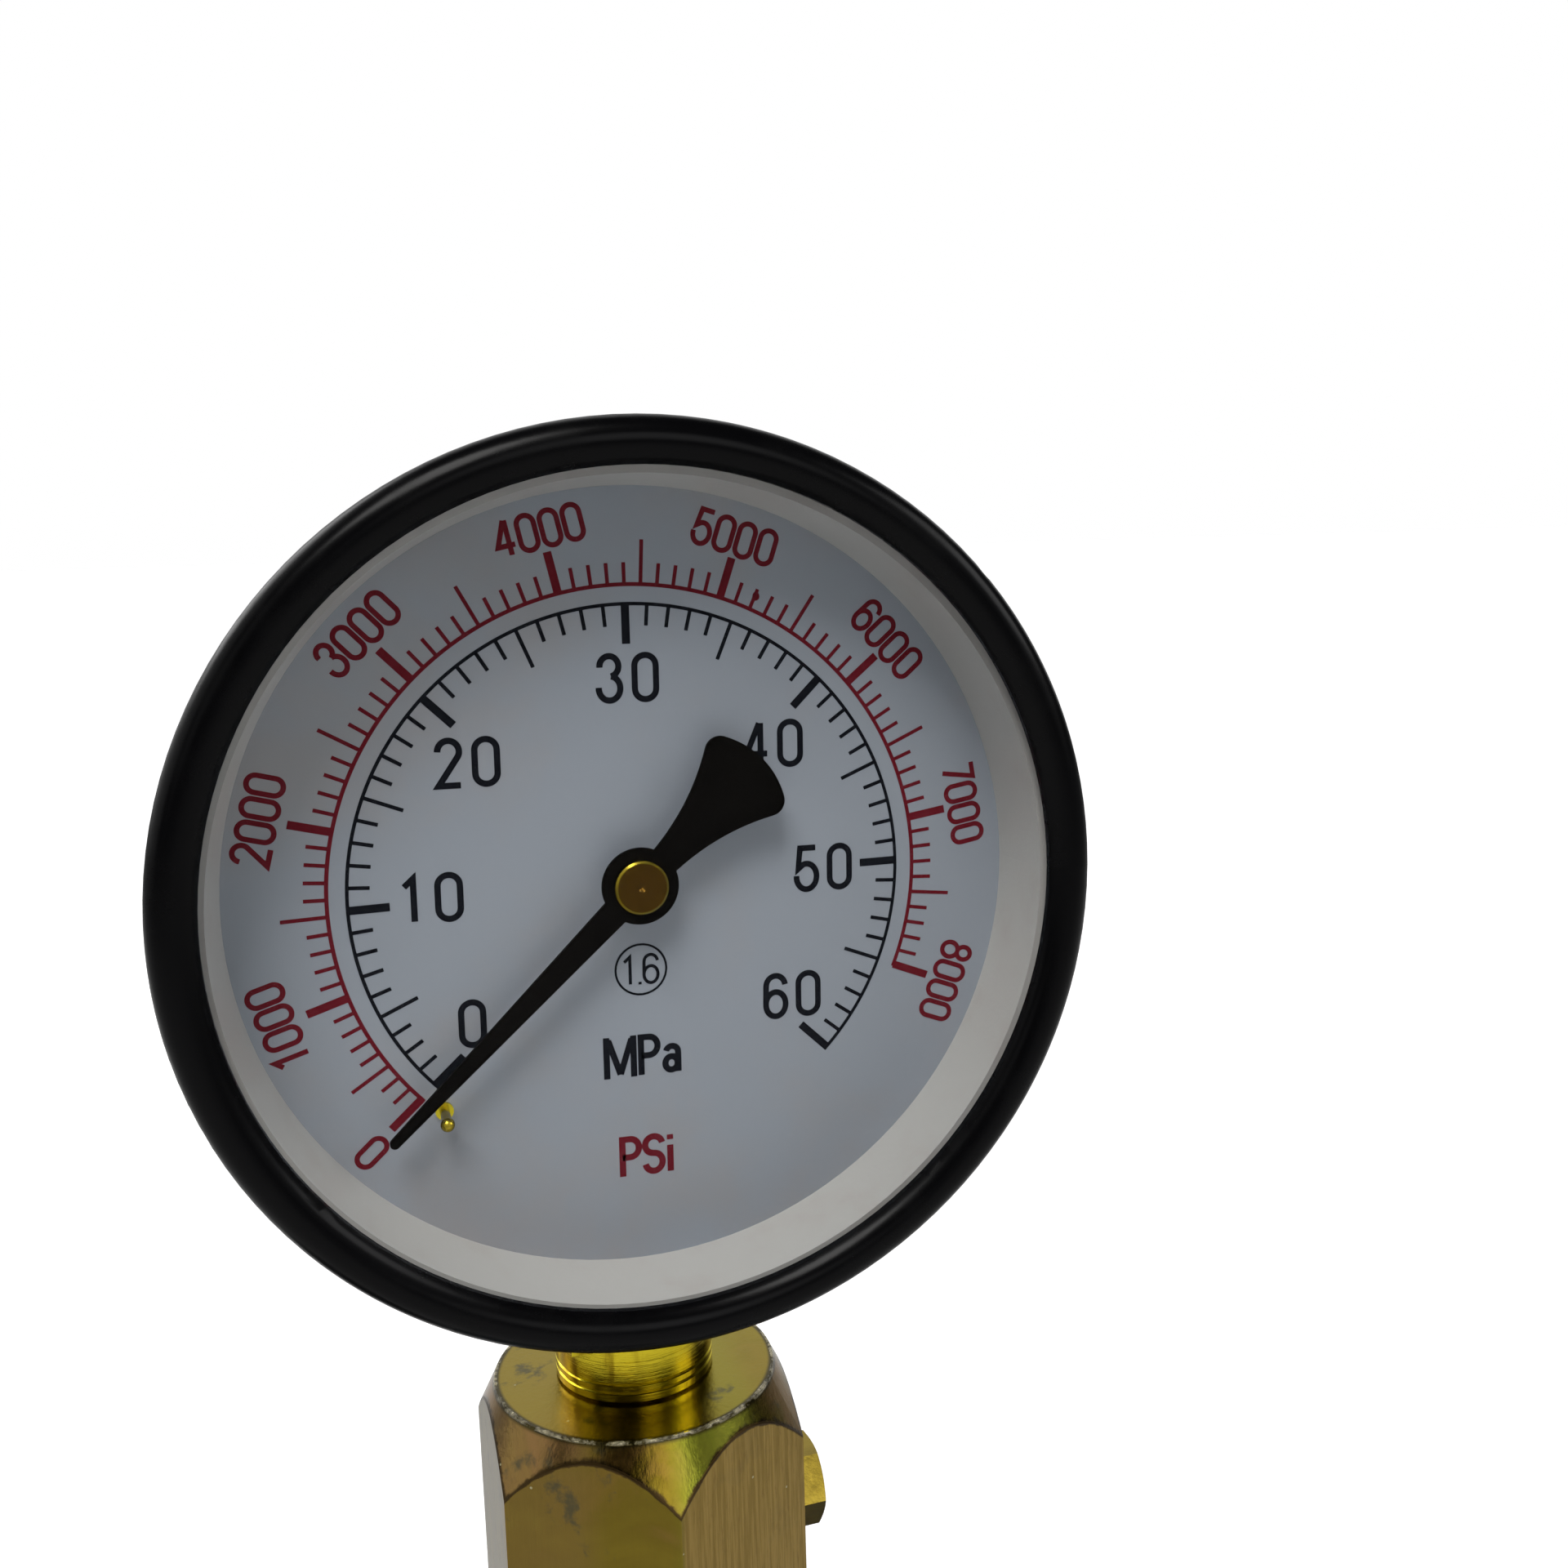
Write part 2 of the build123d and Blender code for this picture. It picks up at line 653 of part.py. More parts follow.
def delivery_spring():
    """Light spring that shuts the delivery ball."""
    low = ball_z() + BALL_D / 2
    high = SEAT_TOP + HOLDER_BORE_L
    return coil(VALVE_WIRE_D, BALL_D - VALVE_WIRE_D, VALVE_SPRING_TURNS, low, high, PUMP_X)


def delivery_holder():
    """Hexagonal plug that clamps seat and barrel and guides the ball."""
    nose = disc(BARREL_COLLAR_D / 2, SEAT_TOP, HOLDER_THREAD_Z)
    groove = disc(BARREL_COLLAR_D, VALVE_Z - GALLERY_D / 2, VALVE_Z + GALLERY_D / 2)
    groove -= disc(BARREL_COLLAR_D / 2 - HOLDER_GROOVE, VALVE_Z - GALLERY_D, VALVE_Z + GALLERY_D)
    nose -= groove
    under = BLOCK_TOP + HOLDER_WASHER_T
    body = nose + disc(HOLDER_THREAD_D / 2, HOLDER_THREAD_Z, under)
    body += bevelled_hex(HOLDER_HEAD_AF, under, under + HOLDER_HEAD_H)
    body -= disc(HOLDER_BORE_D / 2, SEAT_TOP - OVER, SEAT_TOP + HOLDER_BORE_L)
    for turn in (0, 90):
        body -= Rot(0, 0, turn) * rod_x(GALLERY_D / 2, -BARREL_COLLAR_D, BARREL_COLLAR_D, 0, VALVE_Z)
    return Pos(PUMP_X, 0, 0) * body


def holder_washer():
    """Copper ring under the delivery holder's head."""
    ring = disc(HOLDER_WASHER_D / 2, BLOCK_TOP, BLOCK_TOP + HOLDER_WASHER_T, PUMP_X)
    return ring - disc(HOLDER_THREAD_D / 2 + RUN, BLOCK_TOP - OVER, BLOCK_TOP + 2 * HOLDER_WASHER_T, PUMP_X)


def at_valve(shape, x=0.0):
    """Turn an upright shape so that it points out of the front boss."""
    return Pos(x, FRONT_Y - BOSS_L, VALVE_Z) * Rot(90, 0, 0) * shape


def boss_depth():
    """Distance from the front boss's face to the valve seat."""
    return VALVE_SEAT_Y - FRONT_Y + BOSS_L


def valve_spindle():
    """Spindle whose cone shuts the way to the gauge."""
    depth = boss_depth()
    radius = SPINDLE_D / 2
    end = knob_start() + KNOB_T - KNOB_CROWN
    outline = [
        (0, -depth - SPINDLE_NOSE),
        (VALVE_SEAT_D / 2 - SPINDLE_FLAT, -depth - SPINDLE_NOSE),
        (radius, -depth + radius),
        (radius, end),
        (0, end),
    ]
    return at_valve(turned_z(outline))


def valve_packing():
    """Packing ring round the spindle, under the gland nut."""
    low = -GLAND_THREAD_L
    ring = disc(GLAND_THREAD_D / 2, low, low + PACKING_T)
    return at_valve(ring - disc(SPINDLE_D / 2 + RUN, low - OVER, low + PACKING_T + OVER))


def valve_gland():
    """Gland nut that presses the packing and guides the spindle."""
    low = -GLAND_THREAD_L + PACKING_T
    nut = disc(GLAND_THREAD_D / 2, low, 0) + bevelled_hex(GLAND_AF, 0, GLAND_L)
    return at_valve(nut - disc(SPINDLE_D / 2 + RUN, low - OVER, GLAND_L + OVER))


def knob_start():
    """Distance from the boss's face to the knob."""
    return GLAND_L + KNOB_GAP + KNOB_COLLAR_L


def valve_knob():
    """Lobed hand knob, pressed on the spindle."""
    low = knob_start()
    knob = disc(KNOB_D / 2, low, low + KNOB_T)
    knob = fillet(knob.edges().filter_by(GeomType.CIRCLE), KNOB_EDGE)
    for lobe in range(KNOB_LOBES):
        angle = 360 * lobe / KNOB_LOBES
        flute = Pos(KNOB_D / 2 + KNOB_EDGE, 0, 0) * disc(FLUTE_R, low - OVER, low + KNOB_T + OVER)
        knob -= Rot(0, 0, angle) * flute
    knob += disc(SPINDLE_D, low - KNOB_COLLAR_L, low)
    bore = disc(SPINDLE_D / 2, low - KNOB_COLLAR_L - OVER, low + KNOB_T - KNOB_CROWN)
    return at_valve(knob - bore)


def outlet_nipple():
    """Threaded nipple to which the injector's pipe is screwed."""
    base = OUTLET_WASHER_T
    hex_top = base + OUTLET_HEX_T
    end = hex_top + OUTLET_THREAD_L
    radius = OUTLET_THREAD_D / 2
    nipple = disc(radius, -OUTLET_STUB_L, base) + bevelled_hex(OUTLET_AF, base, hex_top)
    outline = [
        (0, hex_top),
        (radius, hex_top),
        (radius, end - OUTLET_BEVEL),
        (radius - OUTLET_BEVEL, end),
        (0, end),
    ]
    nipple += turned_z(outline)
    nipple -= disc(OUTLET_BORE_D / 2, -OUTLET_STUB_L - OVER, end + OVER)
    mouth = radius - OUTLET_LIP
    cone = [(0, end - OUTLET_CONE), (mouth, end), (mouth, end + OVER), (0, end + OVER)]
    return at_valve(nipple - turned_z(cone), PUMP_X)


def outlet_washer():
    """Copper ring under the outlet nipple."""
    ring = disc(OUTLET_AF / 2 - WASHER_IN, 0, OUTLET_WASHER_T)
    return at_valve(ring - disc(OUTLET_THREAD_D / 2 + RUN, -OVER, OUTLET_WASHER_T + OVER), PUMP_X)


def at_pivot(shape):
    """Place a shape, built along +X from the pivot, at the raised handle."""
    return Pos(PIVOT_X, 0, PIVOT_Z) * Rot(0, -HANDLE_RAISE, 0) * shape


def pump_lever():
    """Cast lever: roller fork, pivot boss and handle socket in one piece."""
    half = LEVER_T / 2
    boss = rod_y(PIVOT_BOSS_R, -half, half)
    fork_turn = 180 + ARM_REST - HANDLE_RAISE
    tip_x = ARM * cos(radians(fork_turn))
    tip_z = ARM * sin(radians(fork_turn))
    tip = rod_y(ROLLER_BOSS_R, -half, half, tip_x, tip_z)
    arm = Pos(tip_x / 2, 0, tip_z / 2) * Rot(0, -fork_turn, 0) * Box(ARM, LEVER_T, ARM_W)
    neck = slab(0, SOCKET_START + 2, -half, half, -PIVOT_BOSS_R * 0.7, PIVOT_BOSS_R * 0.7)
    socket = rod_x(SOCKET_D / 2, SOCKET_START, SOCKET_START + SOCKET_L)
    lever = boss + tip + arm + neck + socket
    lever -= rod_y(ROLLER_R + SLIP * 2, -ROLLER_W / 2 - SLIP, ROLLER_W / 2 + SLIP, tip_x, tip_z)
    lever -= rod_y(ROLLER_PIN_D / 2, -half - OVER, half + OVER, tip_x, tip_z)
    lever -= rod_y(PIVOT_D / 2 + RUN, -half - OVER, half + OVER)
    lever -= rod_x(TUBE_D / 2, SOCKET_START + TUBE_END, SOCKET_START + SOCKET_L + OVER)
    return at_pivot(lever)


def handle_tube():
    """Steel tube pressed into the lever's socket."""
    start = SOCKET_START + TUBE_END
    tube = rod_x(TUBE_D / 2, start, HANDLE_L - TUBE_END)
    return at_pivot(tube - rod_x(TUBE_D / 2 - TUBE_WALL, start - OVER, HANDLE_L))


def handle_grip():
    """Ribbed hand grip over the end of the tube."""
    radius = GRIP_D / 2
    waist = radius - GRIP_RIB
    start = HANDLE_L - GRIP_L
    wire = [(0, start), (radius - GRIP_BEVEL, start), (waist, start + GRIP_BEVEL)]
    pitch = (GRIP_L - GRIP_PLAIN) / GRIP_RIBS
    for rib in range(GRIP_RIBS):
        z = start + GRIP_PLAIN_FRONT + rib * pitch
        wire += [(waist, z), (radius, z + pitch * 0.3)]
        wire += [(radius, z + pitch * 0.6), (waist, z + pitch * 0.9)]
    wire += [(radius, HANDLE_L - GRIP_PLAIN_END), (radius, HANDLE_L - GRIP_END)]
    wire += [(radius - GRIP_END, HANDLE_L), (0, HANDLE_L)]
    grip = turned_z(wire) - disc(TUBE_D / 2, start - OVER, HANDLE_L - TUBE_END)
    return at_pivot(Rot(0, 90, 0) * grip)


def lift_roller():
    """Hardened roller under the plunger's foot."""
    roller = rod_y(ROLLER_R, -ROLLER_W / 2, ROLLER_W / 2, ROLLER_X, ROLLER_Z)
    return roller - rod_y(ROLLER_PIN_D / 2 + RUN, -ROLLER_W, ROLLER_W, ROLLER_X, ROLLER_Z)


def roller_pin():
    """Pin of the roller, pressed through both sides of the fork."""
    return rod_y(ROLLER_PIN_D / 2, -LEVER_T / 2, LEVER_T / 2, ROLLER_X, ROLLER_Z)


def pivot_end():
    """Half the length of the pivot pin."""
    return SLOT / 2 + CHEEK_T + CLIP_T + PIVOT_OVERHANG


def clip_groove(side, inner):
    """Ring of the pivot pin's groove on one side."""
    face = SLOT / 2 + CHEEK_T
    low, high = sorted((side * face, side * (face + CLIP_T)))
    ring = rod_y(PIVOT_D, low, high, PIVOT_X, PIVOT_Z)
    return ring - rod_y(inner, low, high, PIVOT_X, PIVOT_Z)


def pivot_pin():
    """Pivot pin, grooved at both ends for its clips."""
    pin = rod_y(PIVOT_D / 2, -pivot_end(), pivot_end(), PIVOT_X, PIVOT_Z)
    for side in (-1, 1):
        pin -= clip_groove(side, PIVOT_D / 2 - CLIP_GROOVE)
    return pin


def pivot_clips():
    """Two open clips in the grooves of the pivot pin."""
    face = SLOT / 2 + CHEEK_T
    clips = []
    for side in (-1, 1):
        low, high = sorted((side * face, side * (face + CLIP_T)))
        clip = rod_y(CLIP_D / 2, low, high, PIVOT_X, PIVOT_Z)
        clip -= rod_y(PIVOT_D / 2 - CLIP_GROOVE, low, high, PIVOT_X, PIVOT_Z)
        half = CLIP_MOUTH_HALF
        mouth = slab(PIVOT_X - half, PIVOT_X + half, low, high, PIVOT_Z - CLIP_D, PIVOT_Z)
        clips.append(clip - mouth)
    return Compound(children=clips)


def cup_floor():
    """Height of the reservoir's underside."""
    return ARM_TOP + CUP_WASHER_T


def reservoir_cup():
    """Round fuel cup with a rolled rim and a hole for its bolt."""
    low = cup_floor()
    top = low + CUP_H
    outline = [
        (CUP_BOLT_D / 2 + RUN, low),
        (CUP_R - CUP_EDGE, low),
        (CUP_R, low + CUP_EDGE),
        (CUP_R, top),
        (CUP_R - CUP_WALL, top),
        (CUP_R - CUP_WALL, low + CUP_FLOOR + CUP_HOLLOW),
        (CUP_R - CUP_WALL - CUP_HOLLOW, low + CUP_FLOOR),
        (CUP_BOLT_D / 2 + RUN, low + CUP_FLOOR),
    ]
    return Pos(CUP_X, 0, 0) * turned_z(outline)


def reservoir_washer():
    """Fibre ring between the arm and the cup."""
    ring = disc(CUP_WASHER_D / 2, ARM_TOP, cup_floor(), CUP_X)
    return ring - disc(CUP_BOLT_D / 2 + RUN, ARM_TOP - OVER, cup_floor() + OVER, CUP_X)


def reservoir_bolt():
    """Hollow bolt that holds the cup and lets the fuel down."""
    seat = cup_floor() + CUP_FLOOR
    bolt = disc(CUP_BOLT_D / 2, ARM_TOP - CUP_BOLT_L, seat)
    bolt += bevelled_hex(CUP_BOLT_AF, seat, seat + CUP_BOLT_HEAD, BLEED_BEVEL)
    bolt -= disc(INLET_D / 2, ARM_TOP - CUP_BOLT_L - OVER, seat + CUP_BOLT_HEAD + OVER)
    side = rod_x(INLET_D / 2, -CUP_BOLT_D, CUP_BOLT_D, 0, ARM_Z)
    return Pos(CUP_X, 0, 0) * (bolt - side)


def fuel_strainer():
    """Strainer cap over the head of the hollow bolt."""
    low = cup_floor() + CUP_FLOOR
    high = low + STRAINER_H
    outline = [
        (STRAINER_R, low),
        (STRAINER_R + STRAINER_WALL, low),
        (STRAINER_R + STRAINER_WALL, high),
        (0, high),
        (0, high - STRAINER_WALL),
        (STRAINER_R, high - STRAINER_WALL),
    ]
    return Pos(CUP_X, 0, 0) * turned_z(outline)


def reservoir_lid():
    """Loose lid with a skirt outside the cup and a turned knob."""
    rim = cup_floor() + CUP_H
    outer = CUP_R + SLIP + LID_WALL
    inner = CUP_R + SLIP
    neck = LID_KNOB_D / 2 - LID_NECK_IN
    neck_top = rim + LID_T + LID_NECK_H
    top = rim + LID_T
    outline = [
        (0, rim),
        (inner, rim),
        (inner, rim - LID_SKIRT),
        (outer, rim - LID_SKIRT),
        (outer, top - LID_EDGE),
        (outer - LID_EDGE, top),
        (neck, top),
        (neck, neck_top),
        (LID_KNOB_D / 2, neck_top + LID_EDGE),
        (LID_KNOB_D / 2, top + LID_KNOB_H - LID_EDGE),
        (LID_KNOB_D / 2 - LID_EDGE, top + LID_KNOB_H),
        (0, top + LID_KNOB_H),
    ]
    return Pos(CUP_X, 0, 0) * turned_z(outline)


def inlet_plug():
    """Socket screw that closes the end of the inlet way."""
    end = CUP_X - ARM_SEAT_R
    plug = rod_x(PLUG_D / 2, end + PLUG_IN, end + PLUG_L, 0, ARM_Z)
    key = Pos(end, 0, ARM_Z) * Rot(0, 90, 0) * hexagon(PLUG_D / 2, 0, PLUG_L / 2)
    return plug - key


def case_inside():
    """Profile of the room inside the case, behind the dial."""
    corner = CASE_BACK_CORNER
    inner = CASE_REAR_R - CASE_WALL
    back = CASE_BACK + CASE_WALL
    return [
        (0, back),
        (inner - corner, back),
        (inner - corner * 0.3, back + corner * 0.3),
        (inner, back + corner),
        (inner, -DIAL_T),
    ]


def gauge_case():
    """Pressed case: a stepped pot whose step carries the dial."""
    front_inner = CASE_R - CASE_WALL
    corner = CASE_BACK_CORNER
    outline = [
        (front_inner, CASE_RIM),
        (CASE_R, CASE_RIM),
        (CASE_R, -DIAL_T - CASE_WALL),
        (CASE_REAR_R, -DIAL_T - CASE_WALL),
        (CASE_REAR_R, CASE_BACK + corner),
        (CASE_REAR_R - corner * 0.3, CASE_BACK + corner * 0.3),
        (CASE_REAR_R - corner, CASE_BACK),
        (0, CASE_BACK),
    ]
    case = turned_dial(outline + case_inside() + [(front_inner, -DIAL_T)])
    half = STEM_SQUARE / 2 + SLIP
    case -= slab(-half, half, -half, half, DIAL_Z - CASE_R, DIAL_Z - CASE_REAR_R + 2 * CASE_WALL)
    for x in (-1, 1):
        u = x * STEM_BLOCK_X / 4
        case -= dial_rod(CASE_SCREW_D / 2, CASE_BACK + CASE_HOLE, CASE_BACK - OVER, u, -case_screw_down())
    return case


def case_screw_down():
    """Distance of the case screws below the dial's middle."""
    return (STEM_BLOCK_TOP + CASE_REAR_R) / 2


def case_screws():
    """Two round-headed screws from the back into the stem."""
    screws = []
    for side in (-1, 1):
        u = side * STEM_BLOCK_X / 4
        head = dial_rod(CASE_SCREW_HEAD_R, CASE_BACK, CASE_BACK - CASE_SCREW_HEAD_T, u, -case_screw_down())
        body = dial_rod(CASE_SCREW_D / 2, CASE_BACK + CASE_SCREW_L, CASE_BACK, u, -case_screw_down())
        screws.append(head + body)
    return Compound(children=screws)


def bezel_ring():
    """Round-nosed bezel that holds lens and gasket on the case."""
    inner = BEZEL_R - BEZEL_WALL
    below = [
        (OPENING_R, BEZEL_FRONT - BEZEL_INNER_DROP),
        (OPENING_R, LIP_BACK),
        (inner, LIP_BACK),
        (inner, BEZEL_BACK),
        (BEZEL_R, BEZEL_BACK),
        (BEZEL_R, BEZEL_FRONT - BEZEL_NOSE),
    ]
    below = [Vector(r, -s, 0) for r, s in below]
    crest = Vector(BEZEL_R - BEZEL_CREST_R, -BEZEL_FRONT, 0)
    nose = Edge.make_three_point_arc(below[-1], crest, below[0])
    sides = [Edge.make_line(a, b) for a, b in zip(below, below[1:])]
    return on_dial(revolve(Face(Wire(sides + [nose])), axis=Axis.Y))


def gauge_lens():
    """Flat glass of the gauge."""
    return dial_rod(LENS_R, LENS_BACK + LENS_T, LENS_BACK)


def lens_gasket():
    """Rubber ring between the glass and the bezel's lip."""
    ring = dial_rod(LENS_R, LIP_BACK, GASKET_BACK)
    return ring - dial_rod(OPENING_R + GASKET_IN, LIP_BACK + OVER, GASKET_BACK - OVER)


def spacer_ring():
    """Pale ring that stands on the dial's edge and carries the glass."""
    outer = CASE_R - CASE_WALL - SPACER_PLAY
    outline = [
        (SPACER_FOOT_R, 0),
        (outer, 0),
        (outer, CASE_RIM),
        (SPACER_TOP_R, CASE_RIM),
    ]
    return Pos(SPACER_SHIFT_X, 0, SPACER_SHIFT_Z) * turned_dial(outline)


def dial_uv(radius, angle):
    """Point of the dial at a radius and an angle counted from the right."""
    return radius * cos(radians(angle)), radius * sin(radians(angle))


def dial_plate():
    """Printed dial plate, with holes for the shaft and the stop pin."""
    u, v = dial_uv(STOP_PIN_R, STOP_PIN_ANGLE)
    plate = dial_rod(DIAL_R, 0, -DIAL_T)
    plate -= dial_rod(DIAL_HOLE_D / 2, OVER, -DIAL_T - OVER)
    return plate - dial_rod(STOP_PIN_D / 2, OVER, -DIAL_T - OVER, u, v)


def stop_pin():
    """Brass pin with a ball end, against which the pointer rests."""
    u, v = dial_uv(STOP_PIN_R, STOP_PIN_ANGLE)
    pin = dial_rod(STOP_PIN_D / 2, STOP_PIN_H, -DIAL_T, u, v)
    pin += dial_rod(STOP_COLLAR_D / 2, STOP_COLLAR_T, 0, u, v)
    ball = Pos(u, -STEM_TO_DIAL - STOP_PIN_H, DIAL_Z + v) * Sphere(STOP_BALL_R)
    return pin + ball


def gauge_stem():
    """Brass stem: thread, grooved collar, square and block in one piece."""
    bottom = PILLAR_TOP - STEM_THREAD_L
    radius = STEM_THREAD_D / 2
    collar_top = PILLAR_TOP + COLLAR_H
    groove = COLLAR_R - COLLAR_GROOVE
    outline = [
        (0, bottom),
        (radius - STEM_THREAD_END, bottom),
        (radius, bottom + STEM_THREAD_END),
        (radius, PILLAR_TOP),
        (COLLAR_R - COLLAR_BEVEL, PILLAR_TOP),
        (COLLAR_R, PILLAR_TOP + COLLAR_BEVEL),
    ]
    for height in COLLAR_GROOVES:
        middle = PILLAR_TOP + height
        outline += [
            (COLLAR_R, middle - COLLAR_GROOVE_HALF),
            (groove, middle),
            (COLLAR_R, middle + COLLAR_GROOVE_HALF),
        ]
    outline += [
        (COLLAR_R, collar_top - COLLAR_BEVEL),
        (COLLAR_R - COLLAR_BEVEL, collar_top),
        (0, collar_top),
    ]
    stem = turned_z(outline)
    half = STEM_SQUARE / 2
    inside_floor = DIAL_Z - CASE_REAR_R + 2 * CASE_WALL
    stem += slab(-half, half, -half, half, collar_top, inside_floor)
    back = -STEM_TO_DIAL - CASE_BACK - CASE_WALL
    front = -STEM_TO_DIAL - BLOCK_FACE
    wide = STEM_BLOCK_X / 2
    block = slab(-wide, wide, front, back, inside_floor, DIAL_Z - STEM_BLOCK_TOP)
    stem += block & turned_dial(case_inside() + [(0, -DIAL_T)])
    stem -= disc(STEM_BORE_D / 2, bottom - OVER, DIAL_Z - TUBE_R)
    stem -= stem_cross_way()
    stem -= bourdon_body()
    for side in (-1, 1):
        u = side * STEM_BLOCK_X / 4
        stem -= dial_rod(CASE_SCREW_D / 2, CASE_BACK + CASE_SCREW_L, CASE_BACK - OVER, u, -case_screw_down())
        stem -= dial_rod(MOVE_SCREW_R, BLOCK_FACE + OVER, BLOCK_FACE - MOVE_SCREW_L, u, -plate_screw_down())
    return stem


def stem_cross_way():
    """Oil way from the stem's bore to the root of the pressure tube."""
    u, v = dial_uv(TUBE_R, TUBE_START)
    start = Vector(0, 0, DIAL_Z - TUBE_R)
    root = Vector(u, TUBE_DEPTH - STEM_TO_DIAL, DIAL_Z + v)
    way = Plane(origin=start, z_dir=root - start)
    return Solid.make_cylinder(STEM_BORE_D / 2 - STEM_WAY_IN, (root - start).length, way)


def stem_seal():
    """Copper ring under the end of the stem."""
    top = SOCKET_BOTTOM_Z + STEM_SEAL_T
    bore = disc(OIL_WAY_D / 2 + SEAL_BORE_OUT, SOCKET_BOTTOM_Z - OVER, top + OVER)
    return disc(STEM_SEAL_D / 2, SOCKET_BOTTOM_Z, top) - bore


def tube_section(shrink):
    """Flattened section of the tube, laid out at its radius."""
    wide = TUBE_SECTION_X - 2 * shrink
    deep = TUBE_SECTION_Y - 2 * shrink
    outline = RectangleRounded(wide, deep, wide / 2 - TUBE_ROUND)
    return Pos(TUBE_R, TUBE_DEPTH) * outline


def tube_arc(shrink, start, sweep_by):
    """Part ring of the tube's section, clockwise from a start angle."""
    ring = revolve(tube_section(shrink), axis=Axis.Y, revolution_arc=sweep_by)
    return on_dial(Rot(0, -start, 0) * ring)


def bourdon_body():
    """Outer form of the pressure tube, with no bore."""
    return tube_arc(0, TUBE_START, TUBE_SWEEP)


def bourdon_tube():
    """Flattened C-shaped pressure tube."""
    return bourdon_body() - tube_arc(TUBE_SKIN, TUBE_START - TUBE_CUT, TUBE_SWEEP + 2 * TUBE_CUT)


def tip_angle():
    """Angle of the tube's free end, counted from the right."""
    return TUBE_START - TUBE_SWEEP + 360


def tube_tip():
    """Closed end piece of the tube with an ear for the link."""
    turn = TIP_L / TUBE_R * 180 / pi
    tip = tube_arc(0, tip_angle(), turn)
    u, v = ear_place()
    ear_front = LINK_FRONT - LINK_T - LAYER_GAP
    ear = dial_rod(EAR_R, ear_front, -TUBE_DEPTH, u, v)
    return tip + ear


def ear_place():
    """Middle of the link's hole at the free end of the tube."""
    turn = TIP_L / TUBE_R * 90 / pi
    return dial_uv(TUBE_R, tip_angle() - turn)


def plate_screw_down():
    """Distance of the movement's screws below the dial's middle."""
    return (STEM_BLOCK_TOP + MOVE_PLATE_BOTTOM) / 2


def pillar_places():
    """Places of the four pillars between the movement's plates."""
    u = MOVE_PLATE_X / 2 - PILLAR_IN
    top = MOVE_PLATE_TOP - PILLAR_TOP_IN
    low = PILLAR_IN - MOVE_PLATE_BOTTOM
    return [(-u, top), (u, top), (-u, low), (u, low + PILLAR_LOW_UP)]


def movement_outline():
    """Outline of both movement plates, with the shaft and pivot holes."""
    height = MOVE_PLATE_TOP + MOVE_PLATE_BOTTOM
    middle = (MOVE_PLATE_TOP - MOVE_PLATE_BOTTOM) / 2
    outline = Pos(0, middle) * RectangleRounded(MOVE_PLATE_X, height, MOVE_PLATE_CORNER)
    outline -= Circle(SHAFT_D / 2 + RUN)
    return outline - Pos(0, -CENTRES) * Circle(SECTOR_PIVOT_D / 2 + RUN)


def front_plate():
    """Front plate of the movement, with a window to lighten it."""
    outline = movement_outline()
    window = Rectangle(MOVE_PLATE_X - WINDOW_SIDE, WINDOW_H)
    outline -= Pos(0, WINDOW_UP - MOVE_PLATE_BOTTOM) * window
    return dial_plate_of(outline, LAYER_PLATE_BACK + MOVE_PLATE_T, MOVE_PLATE_T)


def rear_plate():
    """Rear plate of the movement, screwed to the stem's block."""
    outline = movement_outline()
    for side in (-1, 1):
        outline -= Pos(side * STEM_BLOCK_X / 4, -plate_screw_down()) * Circle(MOVE_SCREW_R)
    return dial_plate_of(outline, LAYER_REAR_PLATE, MOVE_PLATE_T)


def movement_pillars():
    """Four pillars between the plates."""
    pillars = []
    for u, v in pillar_places():
        pillars.append(dial_rod(PILLAR_D / 2, LAYER_PLATE_BACK, LAYER_REAR_PLATE, u, v))
    return Compound(children=pillars)


def movement_screws():
    """Two cheese-headed screws that fix the movement to the stem."""
    screws = []
    for side in (-1, 1):
        u = side * STEM_BLOCK_X / 4
        top = LAYER_REAR_PLATE + MOVE_SCREW_HEAD_T
        head = dial_rod(MOVE_SCREW_HEAD_R, top, LAYER_REAR_PLATE, u, -plate_screw_down())
        end = BLOCK_FACE - MOVE_SCREW_L
        body = dial_rod(MOVE_SCREW_R, LAYER_REAR_PLATE, end, u, -plate_screw_down())
        screws.append(head + body)
    return Compound(children=screws)


def tooth_points(radius, count, first, step):
    """Corners of straight-flanked teeth round a pitch circle."""
    low = radius - TOOTH_DOWN
    high = radius + TOOTH_UP
    root = TOOTH_ROOT_W / low * 90 / pi
    tip = TOOTH_TIP_W / high * 90 / pi
    points = []
    for tooth in range(count):
        middle = first + tooth * step
        points += [dial_uv(low, middle - root), dial_uv(high, middle - tip)]
        points += [dial_uv(high, middle + tip), dial_uv(low, middle + root)]
    return points


def outline_of(points):
    """Flat face through a ring of points."""
    return Face(Wire.make_polygon([Vector(u, v) for u, v in points], close=True))


def pinion_shaft():
    """Pointer shaft with its pinion."""
    shaft = dial_rod(SHAFT_D / 2, SHAFT_FRONT, BLOCK_FACE + PLATE_PLAY)
    step = 360 / PINION_TEETH
    teeth = tooth_points(PINION_R, PINION_TEETH, -90, step)
    pinion = dial_plate_of(outline_of(teeth), SECTOR_FRONT + LAYER_GAP, SECTOR_T + 2 * LAYER_GAP)
    return shaft + pinion


